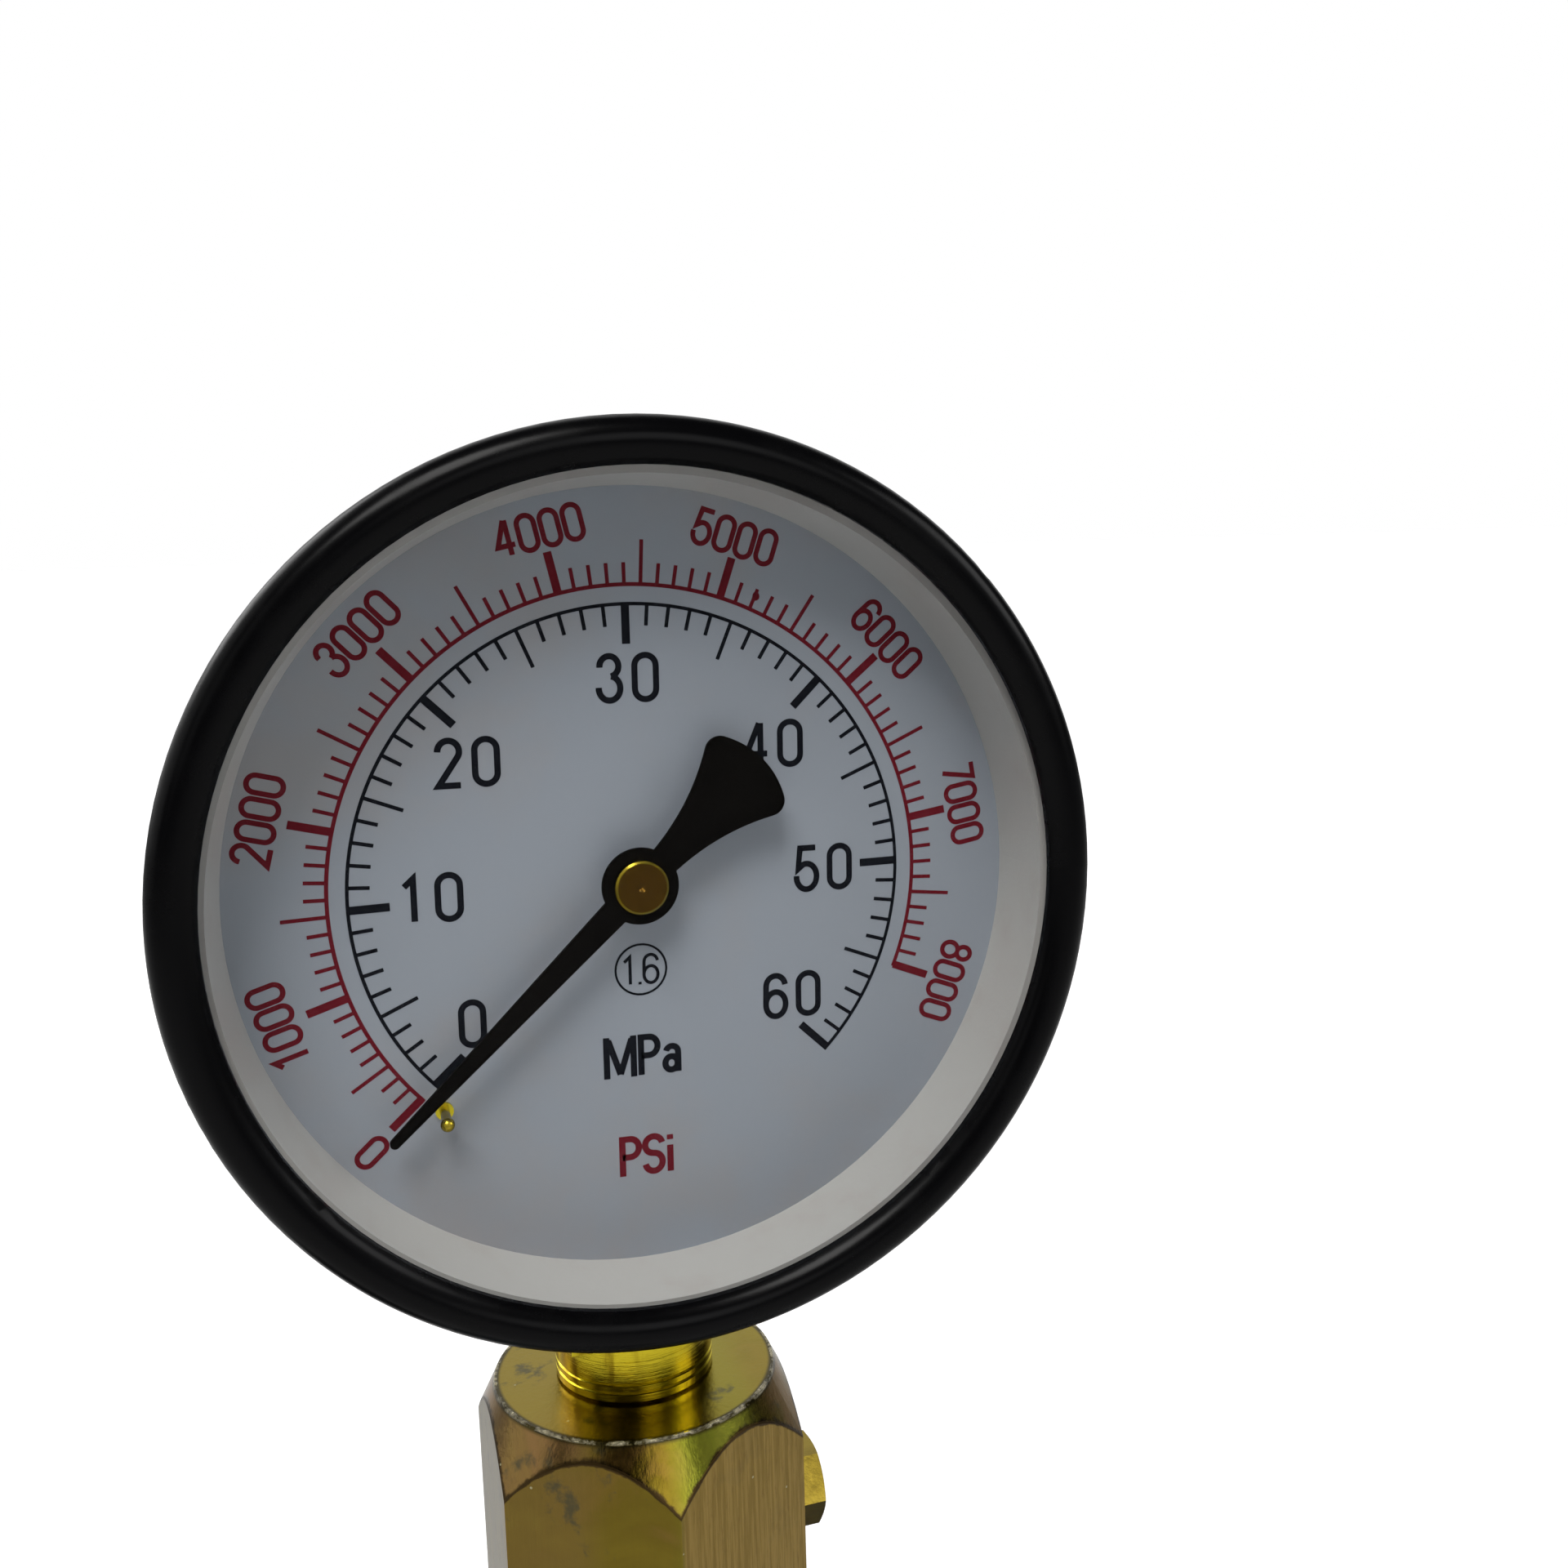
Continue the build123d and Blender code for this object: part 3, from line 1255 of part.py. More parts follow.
def sector_gear():
    """Toothed sector with its hub, spindle and tail."""
    step = 360 / (PINION_TEETH * GEAR_RATIO)
    before = int(SECTOR_BEFORE / step)
    after = int(SECTOR_AFTER / step)
    first = 90 + (before - 0.5) * step
    count = before + after
    rim = tooth_points(SECTOR_R, count, first - (count - 1) * step, step)
    fan = outline_of([(0, 0)] + rim)
    middle = first - (count - 1) * step / 2
    inner = SECTOR_R - SECTOR_RIM_W
    spread = (count - 1) * step / 2 - SECTOR_SIDE
    window = outline_of(
        [dial_uv(SECTOR_HUB_R + SECTOR_HUB_ROOM, middle - spread * 0.7)]
        + [dial_uv(inner, middle + spread * (k / 4 - 1)) for k in range(9)]
        + [dial_uv(SECTOR_HUB_R + SECTOR_HUB_ROOM, middle + spread * 0.7)]
    )
    u, v = dial_uv(TAIL_ARM, TAIL_REST)
    tail = Pos(u / 2, v / 2) * Rot(0, 0, TAIL_REST) * Rectangle(TAIL_ARM, TAIL_W)
    flat = fan - window + Circle(SECTOR_HUB_R) + tail + Pos(u, v) * Circle(TAIL_EYE_R)
    flat -= Pos(u, v) * Circle(LINK_PIN_R + RUN)
    sector = dial_plate_of(Pos(0, -CENTRES) * flat, SECTOR_FRONT, SECTOR_T)
    spindle_front = LAYER_PLATE_BACK + MOVE_PLATE_T
    spindle = dial_rod(SECTOR_PIVOT_D / 2, spindle_front, BLOCK_FACE + PLATE_PLAY, 0, -CENTRES)
    front = LAYER_PLATE_BACK - PLATE_PLAY
    rear = LAYER_REAR_PLATE + PLATE_PLAY
    collar = dial_rod(SECTOR_PIVOT_D / 2 + SECTOR_COLLAR_W, front, rear, 0, -CENTRES)
    return sector + collar + spindle


def tail_place():
    """Place of the link's pin on the sector's tail, at rest."""
    u, v = dial_uv(TAIL_ARM, TAIL_REST)
    return u, v - CENTRES


def tube_link():
    """Link between the sector's tail and the tube's free end."""
    u0, v0 = tail_place()
    u1, v1 = ear_place()
    length = sqrt((u1 - u0) ** 2 + (v1 - v0) ** 2)
    along = Vector(u1 - u0, v1 - v0).get_signed_angle(Vector(1, 0), Vector(0, 0, -1))
    bar = SlotCenterToCenter(length, LINK_W)
    link = Pos((u0 + u1) / 2, (v0 + v1) / 2) * Rot(0, 0, along) * bar
    link -= Pos(u1, v1) * Circle(LINK_HOLE_R)
    link = dial_plate_of(link, LINK_FRONT, LINK_T)
    return link + dial_rod(LINK_PIN_R, SECTOR_FRONT + LAYER_GAP, LINK_FRONT, u0, v0)


def hair_spring():
    """Flat spiral that takes up the play of the teeth."""
    first = SHAFT_D / 2 + HAIR_START
    wire = None
    for half in range(HAIR_TURNS):
        radius = first + HAIR_PITCH * half
        centre = HAIR_PITCH if half % 2 else 0.0
        ring = Pos(centre, 0) * (Circle(radius + HAIR_HALF_W) - Circle(radius - HAIR_HALF_W))
        side = 1 if half % 2 else -1
        keep = Pos(centre, side * HAIR_MASK_Y / 2) * Rectangle(HAIR_MASK_X, HAIR_MASK_Y)
        piece = ring & keep
        wire = piece if wire is None else wire + piece
    return dial_plate_of(wire, LAYER_REAR_PLATE + HAIR_UP, HAIR_H)


def spring_collet():
    """Brass collet that holds the inner end of the spiral."""
    ring = Circle(SHAFT_D / 2 + COLLET_W) - Circle(SHAFT_D / 2)
    return dial_plate_of(ring, LAYER_REAR_PLATE + HAIR_UP, HAIR_H)


def pointer_outline():
    """Pointer seen from the front, with its tip to the right."""
    root = POINTER_ROOT_W / 2
    tip = POINTER_TIP_W / 2
    blade = outline_of([(0, -root), (POINTER_L - tip, -tip), (POINTER_L - tip, tip), (0, root)])
    blade += Pos(POINTER_L - tip, 0) * Circle(tip)
    shoulder = (-TAIL_SHOULDER, TAIL_HALF_W)
    shoulder_low = (-TAIL_SHOULDER, -TAIL_HALF_W)
    upper = ThreePointArc((0, TAIL_NECK_HALF), (-TAIL_WAIST, TAIL_WAIST_HALF), shoulder)
    crown = ThreePointArc(shoulder, (-TAIL_R, 0), shoulder_low)
    lower = ThreePointArc(shoulder_low, (-TAIL_WAIST, -TAIL_WAIST_HALF), (0, -TAIL_NECK_HALF))
    middle = Line((0, -TAIL_NECK_HALF), (0, TAIL_NECK_HALF))
    tail = make_face([upper, crown, lower, middle])
    tail = fillet(tail.vertices().sort_by(Axis.X)[:2], TAIL_CORNER)
    return blade + tail + Circle(POINTER_HUB_R)


def pointer():
    """Black pointer with its spade-shaped tail."""
    flat = Rot(0, 0, POINTER_REST) * pointer_outline()
    flat -= Circle(BUSH_BORE_R)
    return dial_plate_of(flat, POINTER_LIFT + POINTER_T, POINTER_T)


def pointer_bush():
    """Brass bush by which the pointer is pressed on its shaft."""
    face = POINTER_LIFT + POINTER_T
    top = face + BUSH_T
    back = POINTER_LIFT - BUSH_BACK
    outline = [
        (0, back),
        (BUSH_BORE_R, back),
        (BUSH_BORE_R, face),
        (BUSH_R, face),
        (BUSH_R, top - BUSH_BEVEL),
        (BUSH_R - BUSH_BEVEL, top),
        (DIMPLE_R, top),
        (0, top - DIMPLE_DEPTH),
    ]
    return turned_dial(outline) - dial_rod(SHAFT_D / 2, SHAFT_FRONT, back - OVER)


def build():
    """Build and write every piece."""
    os.makedirs("parts", exist_ok=True)
    save("pump_body", pump_body())
    save("gauge_pillar", gauge_pillar())
    save("bleed_screw", bleed_screw())
    save("bleed_washer", bleed_washer())
    save("pump_barrel", pump_barrel())
    save("pump_plunger", pump_plunger())
    save("spring_plate", spring_plate())
    save("plunger_spring", plunger_spring())
    save("delivery_seat", delivery_seat())
    save("delivery_ball", delivery_ball())
    save("delivery_spring", delivery_spring())
    save("delivery_holder", delivery_holder())
    save("holder_washer", holder_washer())
    save("valve_spindle", valve_spindle())
    save("valve_packing", valve_packing())
    save("valve_gland", valve_gland())
    save("valve_knob", valve_knob())
    save("outlet_nipple", outlet_nipple())
    save("outlet_washer", outlet_washer())
    save("pump_lever", pump_lever())
    save("handle_tube", handle_tube())
    save("handle_grip", handle_grip())
    save("lift_roller", lift_roller())
    save("roller_pin", roller_pin())
    save("pivot_pin", pivot_pin())
    save("pivot_clips", pivot_clips())
    save("reservoir_cup", reservoir_cup())
    save("reservoir_washer", reservoir_washer())
    save("reservoir_bolt", reservoir_bolt())
    save("fuel_strainer", fuel_strainer())
    save("reservoir_lid", reservoir_lid())
    save("inlet_plug", inlet_plug())
    save("gauge_case", gauge_case())
    save("case_screws", case_screws())
    save("bezel_ring", bezel_ring())
    save("gauge_lens", gauge_lens())
    save("lens_gasket", lens_gasket())
    save("spacer_ring", spacer_ring())
    save("dial_plate", dial_plate())
    save("stop_pin", stop_pin())
    save("gauge_stem", gauge_stem())
    save("stem_seal", stem_seal())
    save("bourdon_tube", bourdon_tube())
    save("tube_tip", tube_tip())
    save("tube_link", tube_link())
    save("sector_gear", sector_gear())
    save("pinion_shaft", pinion_shaft())
    save("front_plate", front_plate())
    save("rear_plate", rear_plate())
    save("movement_pillars", movement_pillars())
    save("movement_screws", movement_screws())
    save("hair_spring", hair_spring())
    save("spring_collet", spring_collet())
    save("pointer", pointer())
    save("pointer_bush", pointer_bush())


build()
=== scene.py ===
import json
from math import cos, pi, radians, sin

import bpy
from mathutils import Matrix, Vector


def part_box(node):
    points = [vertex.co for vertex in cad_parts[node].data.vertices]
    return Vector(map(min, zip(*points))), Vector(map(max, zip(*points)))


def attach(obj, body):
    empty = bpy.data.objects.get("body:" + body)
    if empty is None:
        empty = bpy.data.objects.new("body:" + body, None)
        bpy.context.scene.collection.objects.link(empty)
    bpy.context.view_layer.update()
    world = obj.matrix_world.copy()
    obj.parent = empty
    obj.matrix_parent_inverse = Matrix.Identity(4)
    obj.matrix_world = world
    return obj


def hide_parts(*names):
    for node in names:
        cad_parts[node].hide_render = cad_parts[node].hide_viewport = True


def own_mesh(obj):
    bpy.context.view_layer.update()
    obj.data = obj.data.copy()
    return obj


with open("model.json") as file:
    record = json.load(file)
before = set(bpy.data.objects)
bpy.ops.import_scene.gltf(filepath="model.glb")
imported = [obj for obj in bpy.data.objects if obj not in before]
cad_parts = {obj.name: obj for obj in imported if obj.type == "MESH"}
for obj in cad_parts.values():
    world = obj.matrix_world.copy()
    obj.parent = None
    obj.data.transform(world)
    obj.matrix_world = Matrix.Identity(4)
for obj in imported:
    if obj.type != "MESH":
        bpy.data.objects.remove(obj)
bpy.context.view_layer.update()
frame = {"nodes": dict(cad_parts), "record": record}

# Bench tester for diesel injectors, dressed on its CAD frame.
# Metres, +Z up, the dial faces -Y.

MM = 0.001
nodes = frame["nodes"]

# places read from the frame
DIAL_LOW, DIAL_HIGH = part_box("dial_plate")
DIAL_X = (DIAL_LOW.x + DIAL_HIGH.x) / 2
DIAL_Z = (DIAL_LOW.z + DIAL_HIGH.z) / 2
DIAL_FACE = DIAL_LOW.y
DIAL_MIDDLE = Vector((DIAL_X, DIAL_FACE, DIAL_Z))
PILLAR_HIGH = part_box("gauge_pillar")[1]
OUTLET_LOW, OUTLET_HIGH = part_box("outlet_nipple")

# thread of the outlet, and how its ends and edges fade out
THREAD_R = 0.007
THREAD_L = 0.014
THREAD_PITCH = 0.0015
THREAD_DEPTH = 0.0007
THREAD_ROOT = 0.0008
THREAD_EDGE = 0.0002
THREAD_START = 0.0008
THREAD_FADE = 0.0006

# the hexagonal pillar in millimetres and degrees: across flats, its turn,
# the radius of its top and the drop of its cone per step outwards
PILLAR_AF = 41.0
PILLAR_TURN = -27.7
PILLAR_TOP_R = 19.27
PILLAR_SLOPE = 2.03
SIXTH_TURN = radians(60.0)

# camera: its place, and the right and up directions of its picture
CAMERA_PLACE = Vector((-0.03462, -0.19925, 0.29547))
CAMERA_RIGHT = Vector((0.9580, -0.2855, -0.0256))
CAMERA_UP = Vector((0.0696, 0.1451, 0.9870))
CAMERA_LENS = 35.625
CAMERA_SENSOR = 36.0
CAMERA_NEAR = 0.01

# the dial's print is in millimetres, and in degrees counted from the right.
# Its middle lies a little off the pointer shaft. Inked lines lie in turn on
# three heights, so that crossing lines don't share a face.
PRINT_X = -0.03
PRINT_Z = -0.29
INK_T = 0.02
INK_LIFT = 0.004
INK_LAYERS = 3
INK_LAYER_STEP = 0.002

# black scale: marks are counted from the zero mark, clockwise
ZERO_ANGLE = 221.9
BLACK_R = 34.27
BLACK_STEP = 4.516
BLACK_MARKS = 60
BLACK_FIRST_FIVE = 4
BLACK_FIVES = 6
BLACK_FIRST_TEN = 9
SCALE_BOW = 1.27

# red scale: a shorter first stretch with fewer marks, then even thousands
RED_R = 36.37
RED_FIRST_SWEEP = 24.2
RED_FIRST_MARKS = 8
RED_FIRST_MEDIUM = 3
RED_SWEEP = 31.4
RED_THOUSANDS = 7

# base lines of the scales, drawn a little past their end marks
LINE_BLACK_W = 0.42
LINE_BLACK_PAST = 0.8
LINE_RED_W = 0.48
LINE_RED_PAST = 0.7

# lengths and widths of the marks
MINOR_L = 2.8
MINOR_W = 0.46
MEDIUM_L = 5.1
MEDIUM_W = 0.46
MAJOR_L = 5.0
MAJOR_W = 1.0
RED_MINOR_L = 2.6
RED_MEDIUM_L = 5.3

# black numbers: text, and its middle right of and above the pointer shaft
NUMBER_H = 6.1
NUMBER_STROKE = 0.76
NUMBER_GAP = 1.78
NUMBER_TURN = -0.7
NUMBERS = [
    ("0", -20.56, -15.92),
    ("10", -24.34, -0.03),
    ("20", -19.34, 15.91),
    ("30", 0.17, 24.91),
    ("40", 18.1, 15.77),
    ("50", 24.33, -0.49),
    ("60", 19.74, -16.74),
]

# red numbers, on their own circle, from zero up in thousands
RED_NUMBER_X = -0.35
RED_NUMBER_Z = -0.75
RED_NUMBER_R = 44.4
RED_NUMBER_H = 4.7
RED_NUMBER_STROKE = 0.62
RED_NUMBER_GAP = 0.75
RED_NUMBER_ANGLES = [-137.9, -163.1, 164.9, 133.4, 102.1, 71.1, 40.5, 9.3, -21.7]

# the two units, and the accuracy class in its ring
UNIT_H = 5.4
UNIT_PLACE = (0.1, -22.4)
UNIT_STROKE = 0.80
UNIT_GAP = 0.95
SECOND_UNIT_PLACE = (0.15, -35.5)
SECOND_UNIT_STROKE = 0.82
SECOND_UNIT_GAP = 0.8
CLASS_PLACE = (0.3, -11.35)
CLASS_H = 4.0
CLASS_STROKE = 0.4
CLASS_GAP = 0.42
CLASS_RING_R = 3.2
CLASS_RING_W = 0.27

# a drop of red ink beside the red scale
BLOT_PLACE = (16.44, 34.07)
BLOT_R = 0.2
BLOT_H = 0.28
BLOT_W = 0.5

# a grain of dirt behind the glass: right, up and before the dial
GRAIN_PLACE = (50.2, -6.35, 10.03)
GRAIN_SIZE = 0.3
GRAIN_SIDES = 6

# outlines of the figures: strokes of points and arcs in a cell of height 1.
# An arc is (middle x, middle y, half width, half height, start, end).
FIGURES = {
    "0": (
        0.49,
        [[(0.245, 0.76, 0.245, 0.24, 180, 0), (0.245, 0.24, 0.245, 0.24, 0, -180), "close"]],
    ),
    "1": (0.39, [[(0.0, 0.79), (0.2, 0.97), (0.2, 0.0)]]),
    "2": (0.47, [[(0.235, 0.755, 0.235, 0.245, 180, -25), (0.0, 0.0), (0.48, 0.0)]]),
    "3": (
        0.47,
        [[(0.225, 0.77, 0.215, 0.23, 185, -80)], [(0.225, 0.275, 0.245, 0.275, 80, -185)]],
    ),
    "4": (0.50, [[(0.36, 0.0), (0.36, 1.0)], [(0.33, 1.0), (0.02, 0.28), (0.52, 0.28)]]),
    "5": (0.47, [[(0.45, 1.0), (0.07, 1.0), (0.02, 0.50), (0.225, 0.31, 0.25, 0.31, 110, -185)]]),
    "6": (
        0.48,
        [
            [(0.245, 0.75, 0.235, 0.25, 5, 180), (0.0, 0.28)],
            [(0.245, 0.30, 0.245, 0.30, 0, 360)],
        ],
    ),
    "7": (0.46, [[(0.0, 1.0), (0.46, 1.0), (0.16, 0.0)]]),
    "8": (0.48, [[(0.24, 0.77, 0.205, 0.23, 0, 360)], [(0.24, 0.27, 0.24, 0.27, 0, 360)]]),
    ".": (0.06, [[(0.03, -0.03), (0.03, 0.06)]]),
    "M": (
        0.74,
        [
            [(0.0, -0.08), (0.0, 1.08)],
            [(0.05, 1.0), (0.37, 0.02)],
            [(0.69, 1.0), (0.37, 0.02)],
            [(0.74, -0.08), (0.74, 1.08)],
        ],
    ),
    "P": (
        0.46,
        [[(0.0, -0.06), (0.0, 1.0), (0.22, 1.0), (0.22, 0.74, 0.24, 0.26, 90, -90), (0.0, 0.48)]],
    ),
    "a": (
        0.38,
        [
            [(0.19, 0.50, 0.17, 0.17, 165, 0), (0.36, -0.06)],
            [(0.17, 0.19, 0.17, 0.19, 0, 360)],
        ],
    ),
    "S": (0.48, [[(0.24, 0.76, 0.24, 0.24, 10, 270), (0.24, 0.26, 0.24, 0.26, 90, -170)]]),
    "i": (0.10, [[(0.05, -0.06), (0.05, 0.70)], [(0.05, 0.86), (0.05, 1.0)]]),
}

# steps of the figures' arcs and of the scales' lines, in degrees
ARC_STEP = 12.0
SCALE_ARC_STEP = 1.5

# points closer than this are one, and a mitre is no sharper than this share
SAME_POINT = 1e-4
MITRE_LIMIT = 0.42

# colour sockets of a mix node
MIX_A = 6
MIX_B = 7
MIX_RESULT = 2


def node_inputs(node, values):
    """Set a node's inputs by name."""
    for name, value in values.items():
        node.inputs[name].default_value = value


class Finish:
    """One material: its Principled shader and the nodes that feed it."""

    def __init__(self, name, color, roughness, metallic=0.0, **sockets):
        self.material = bpy.data.materials.new(name)
        self.material.use_nodes = True
        self.tree = self.material.node_tree
        self.shader = self.tree.nodes["Principled BSDF"]
        self.out = self.tree.nodes["Material Output"]
        look = {"Base Color": (*color, 1.0), "Roughness": roughness, "Metallic": metallic}
        node_inputs(self.shader, look)
        for socket, value in sockets.items():
            self.shader.inputs[socket.replace("_", " ")].default_value = value
        self.place = self.add("ShaderNodeTexCoord").outputs["Object"]

    def add(self, kind, values=None, **attributes):
        """Add a node, with its attributes and input values."""
        node = self.tree.nodes.new(kind)
        for name, value in attributes.items():
            setattr(node, name, value)
        node_inputs(node, values or {})
        return node

    def join(self, output, into):
        """Link an output to an input."""
        self.tree.links.new(output, into)

    def use(self, group, **values):
        """Place a shared group, fed with this material's Object coordinates."""
        node = self.add("ShaderNodeGroup")
        node.node_tree = group
        for name, value in values.items():
            socket = node.inputs[name]
            if isinstance(value, bpy.types.NodeSocket):
                self.join(value, socket)
            else:
                socket.default_value = value
        if "Place" in node.inputs and not node.inputs["Place"].is_linked:
            self.join(self.place, node.inputs["Place"])
        return node

    def feed(self, socket, output):
        """Let an output drive one of the shader's sockets."""
        self.join(output, self.shader.inputs[socket])

    def bump(self, height, distance, strength=1.0, under=None):
        """Turn a height into the shader's normal, over an earlier bump."""
        node = self.add("ShaderNodeBump", {"Distance": distance, "Strength": strength})
        self.join(height, node.inputs["Height"])
        if under is not None:
            self.join(under.outputs["Normal"], node.inputs["Normal"])
        self.feed("Normal", node.outputs["Normal"])
        return node

    def axes(self):
        """X, Y and Z of the Object coordinates."""
        split = self.add("ShaderNodeSeparateXYZ")
        self.join(self.place, split.inputs["Vector"])
        return [split.outputs[axis] for axis in "XYZ"]

    def noise(self, scale, detail, roughness=0.5, distortion=0.0):
        """Noise over the Object coordinates."""
        values = {"Scale": scale, "Detail": detail, "Roughness": roughness, "Distortion": distortion}
        node = self.add("ShaderNodeTexNoise", values)
        self.join(self.place, node.inputs["Vector"])
        return node.outputs["Fac"]

    def maths(self, operation, a, b=None, c=None):
        """A Math node; its inputs are numbers or outputs."""
        node = self.add("ShaderNodeMath", operation=operation)
        for socket, value in zip(node.inputs, (a, b, c)):
            if isinstance(value, bpy.types.NodeSocket):
                self.join(value, socket)
            elif value is not None:
                socket.default_value = value
        return node.outputs["Value"]

    def length(self, a, b):
        """Length of two distances at right angles."""
        square = self.maths("ADD", self.maths("MULTIPLY", a, a), self.maths("MULTIPLY", b, b))
        return self.maths("SQRT", square)

    def spread(self, value, low, high, to_low=0.0, to_high=1.0):
        """Spread a value between two limits, held at its ends."""
        limits = {"From Min": low, "From Max": high, "To Min": to_low, "To Max": to_high}
        node = self.add("ShaderNodeMapRange", limits, interpolation_type="SMOOTHSTEP")
        self.join(value, node.inputs["Value"])
        return node.outputs["Result"]

    def blend(self, mask, under, over):
        """Mix two colours by a mask; each colour is a triple or an output."""
        node = self.add("ShaderNodeMix", data_type="RGBA")
        self.join(mask, node.inputs["Factor"])
        for socket, color in ((node.inputs[MIX_A], under), (node.inputs[MIX_B], over)):
            if isinstance(color, bpy.types.NodeSocket):
                self.join(color, socket)
            else:
                socket.default_value = (*color, 1)
        return node.outputs[MIX_RESULT]

    def tint(self, color, mask, share, over):
        """Lay a share of another colour over a colour, inside a mask."""
        return self.blend(self.maths("MULTIPLY", mask, share), color, over)

    def colors_along(self, value, tints):
        """Colours along a value, from pairs of place and colour in order."""
        ramp = self.add("ShaderNodeValToRGB")
        stops = ramp.color_ramp.elements
        for stop, (place, color) in zip((stops[0], stops[1]), (tints[0], tints[-1])):
            stop.position = place
            stop.color = (*color, 1)
        for place, color in tints[1:-1]:
            stops.new(place).color = (*color, 1)
        self.join(value, ramp.inputs["Fac"])
        return ramp.outputs["Color"]


class Effect:
    """A shared shader group with named inputs and outputs."""

    def __init__(self, name, inputs, outputs):
        self.tree = bpy.data.node_groups.new(name, "ShaderNodeTree")
        kinds = {"v": "NodeSocketVector", "f": "NodeSocketFloat", "c": "NodeSocketColor"}
        for label, (kind, value) in inputs.items():
            socket = self.tree.interface.new_socket(label, in_out="INPUT", socket_type=kinds[kind])
            if value is not None:
                socket.default_value = value
        for label, kind in outputs.items():
            self.tree.interface.new_socket(label, in_out="OUTPUT", socket_type=kinds[kind])
        self.into = self.tree.nodes.new("NodeGroupInput").outputs
        self.out = self.tree.nodes.new("NodeGroupOutput").inputs

    def add(self, kind, values=None, **attributes):
        """Add a node; values may be numbers or outputs of other nodes."""
        node = self.tree.nodes.new(kind)
        for name, value in attributes.items():
            setattr(node, name, value)
        for name, value in (values or {}).items():
            if isinstance(value, bpy.types.NodeSocket):
                self.tree.links.new(value, node.inputs[name])
            else:
                node.inputs[name].default_value = value
        return node

    def give(self, label, output):
        """Connect one of the group's outputs."""
        self.tree.links.new(output, self.out[label])


def stain_effect():
    """Cloudy change between two colours, with the mask beside it."""
    group = Effect(
        "stain",
        {
            "Place": ("v", None),
            "Size": ("f", 60.0),
            "Clean": ("c", (1, 1, 1, 1)),
            "Stained": ("c", (0, 0, 0, 1)),
            "Amount": ("f", 0.5),
            "Low": ("f", 0.45),
            "High": ("f", 0.70),
        },
        {"Color": "c", "Mask": "f"},
    )
    noise = group.add(
        "ShaderNodeTexNoise",
        {"Vector": group.into["Place"], "Scale": group.into["Size"], "Detail": 7.0, "Roughness": 0.62},
    )
    span = group.add(
        "ShaderNodeMapRange",
        {
            "Value": noise.outputs["Fac"],
            "From Min": group.into["Low"],
            "From Max": group.into["High"],
            "To Max": group.into["Amount"],
        },
        interpolation_type="SMOOTHSTEP",
    )
    mix = group.add("ShaderNodeMix", data_type="RGBA")
    group.tree.links.new(span.outputs["Result"], mix.inputs["Factor"])
    group.tree.links.new(group.into["Clean"], mix.inputs[MIX_A])
    group.tree.links.new(group.into["Stained"], mix.inputs[MIX_B])
    group.give("Color", mix.outputs[MIX_RESULT])
    group.give("Mask", span.outputs["Result"])
    return group.tree


def brush_effect():
    """Fine lines drawn out along one direction."""
    group = Effect(
        "brushing",
        {
            "Place": ("v", None),
            "Spread": ("v", (1500.0, 1500.0, 40.0)),
            "Low": ("f", 0.3),
            "High": ("f", 0.7),
        },
        {"Height": "f"},
    )
    stretched = group.add("ShaderNodeVectorMath", operation="MULTIPLY")
    group.tree.links.new(group.into["Place"], stretched.inputs[0])
    group.tree.links.new(group.into["Spread"], stretched.inputs[1])
    noise = group.add(
        "ShaderNodeTexNoise",
        {"Vector": stretched.outputs["Vector"], "Scale": 1.0, "Detail": 4.0, "Roughness": 0.7},
    )
    span = group.add(
        "ShaderNodeMapRange",
        {"Value": noise.outputs["Fac"], "From Min": group.into["Low"], "From Max": group.into["High"]},
    )
    group.give("Height", span.outputs["Result"])
    return group.tree


def speck_effect():
    """Small round specks of dust or chips, thinly scattered."""
    group = Effect(
        "specks",
        {"Place": ("v", None), "Spacing": ("f", 400.0), "Radius": ("f", 0.12), "Share": ("f", 0.2)},
        {"Mask": "f"},
    )
    grid = {"Vector": group.into["Place"], "Scale": group.into["Spacing"]}
    cells = group.add("ShaderNodeTexVoronoi", grid)
    near = group.add("ShaderNodeMath", operation="LESS_THAN")
    group.tree.links.new(cells.outputs["Distance"], near.inputs[0])
    group.tree.links.new(group.into["Radius"], near.inputs[1])
    split = group.add("ShaderNodeSeparateColor", {"Color": cells.outputs["Color"]})
    chosen = group.add("ShaderNodeMath", operation="LESS_THAN")
    group.tree.links.new(split.outputs["Red"], chosen.inputs[0])
    group.tree.links.new(group.into["Share"], chosen.inputs[1])
    both = group.add("ShaderNodeMath", operation="MULTIPLY")
    group.tree.links.new(near.outputs["Value"], both.inputs[0])
    group.tree.links.new(chosen.outputs["Value"], both.inputs[1])
    group.give("Mask", both.outputs["Value"])
    return group.tree


STAIN = stain_effect()
BRUSH = brush_effect()
SPECKS = speck_effect()

# tool lines: how often they change across X, Y and Z, a metre
ALONG_Z = (1800.0, 1800.0, 60.0)
ROUND_Z = (60.0, 60.0, 2600.0)
ROUND_Y = (60.0, 2600.0, 60.0)
EVENLY = (700.0, 700.0, 700.0)
SHORT_SCRATCHES = (1500.0, 1500.0, 260.0)

# heights of the surface grain, in metres
BRUSH_DEPTH = 0.000012
BRASS_BRUSH_DEPTH = 0.000015
MOULDED_GRAIN = 0.00003
LACQUER_GRAIN = 0.00001
HAMMER_H = 0.00035

# roughness along the tool lines of metal, as shares of its own
SMOOTHER = 0.75
ROUGHER = 1.35

# how much rougher worn paint is, and the bending of light in the thin glass
DULL_PATCHES = 0.15
LENS_IOR = 1.08


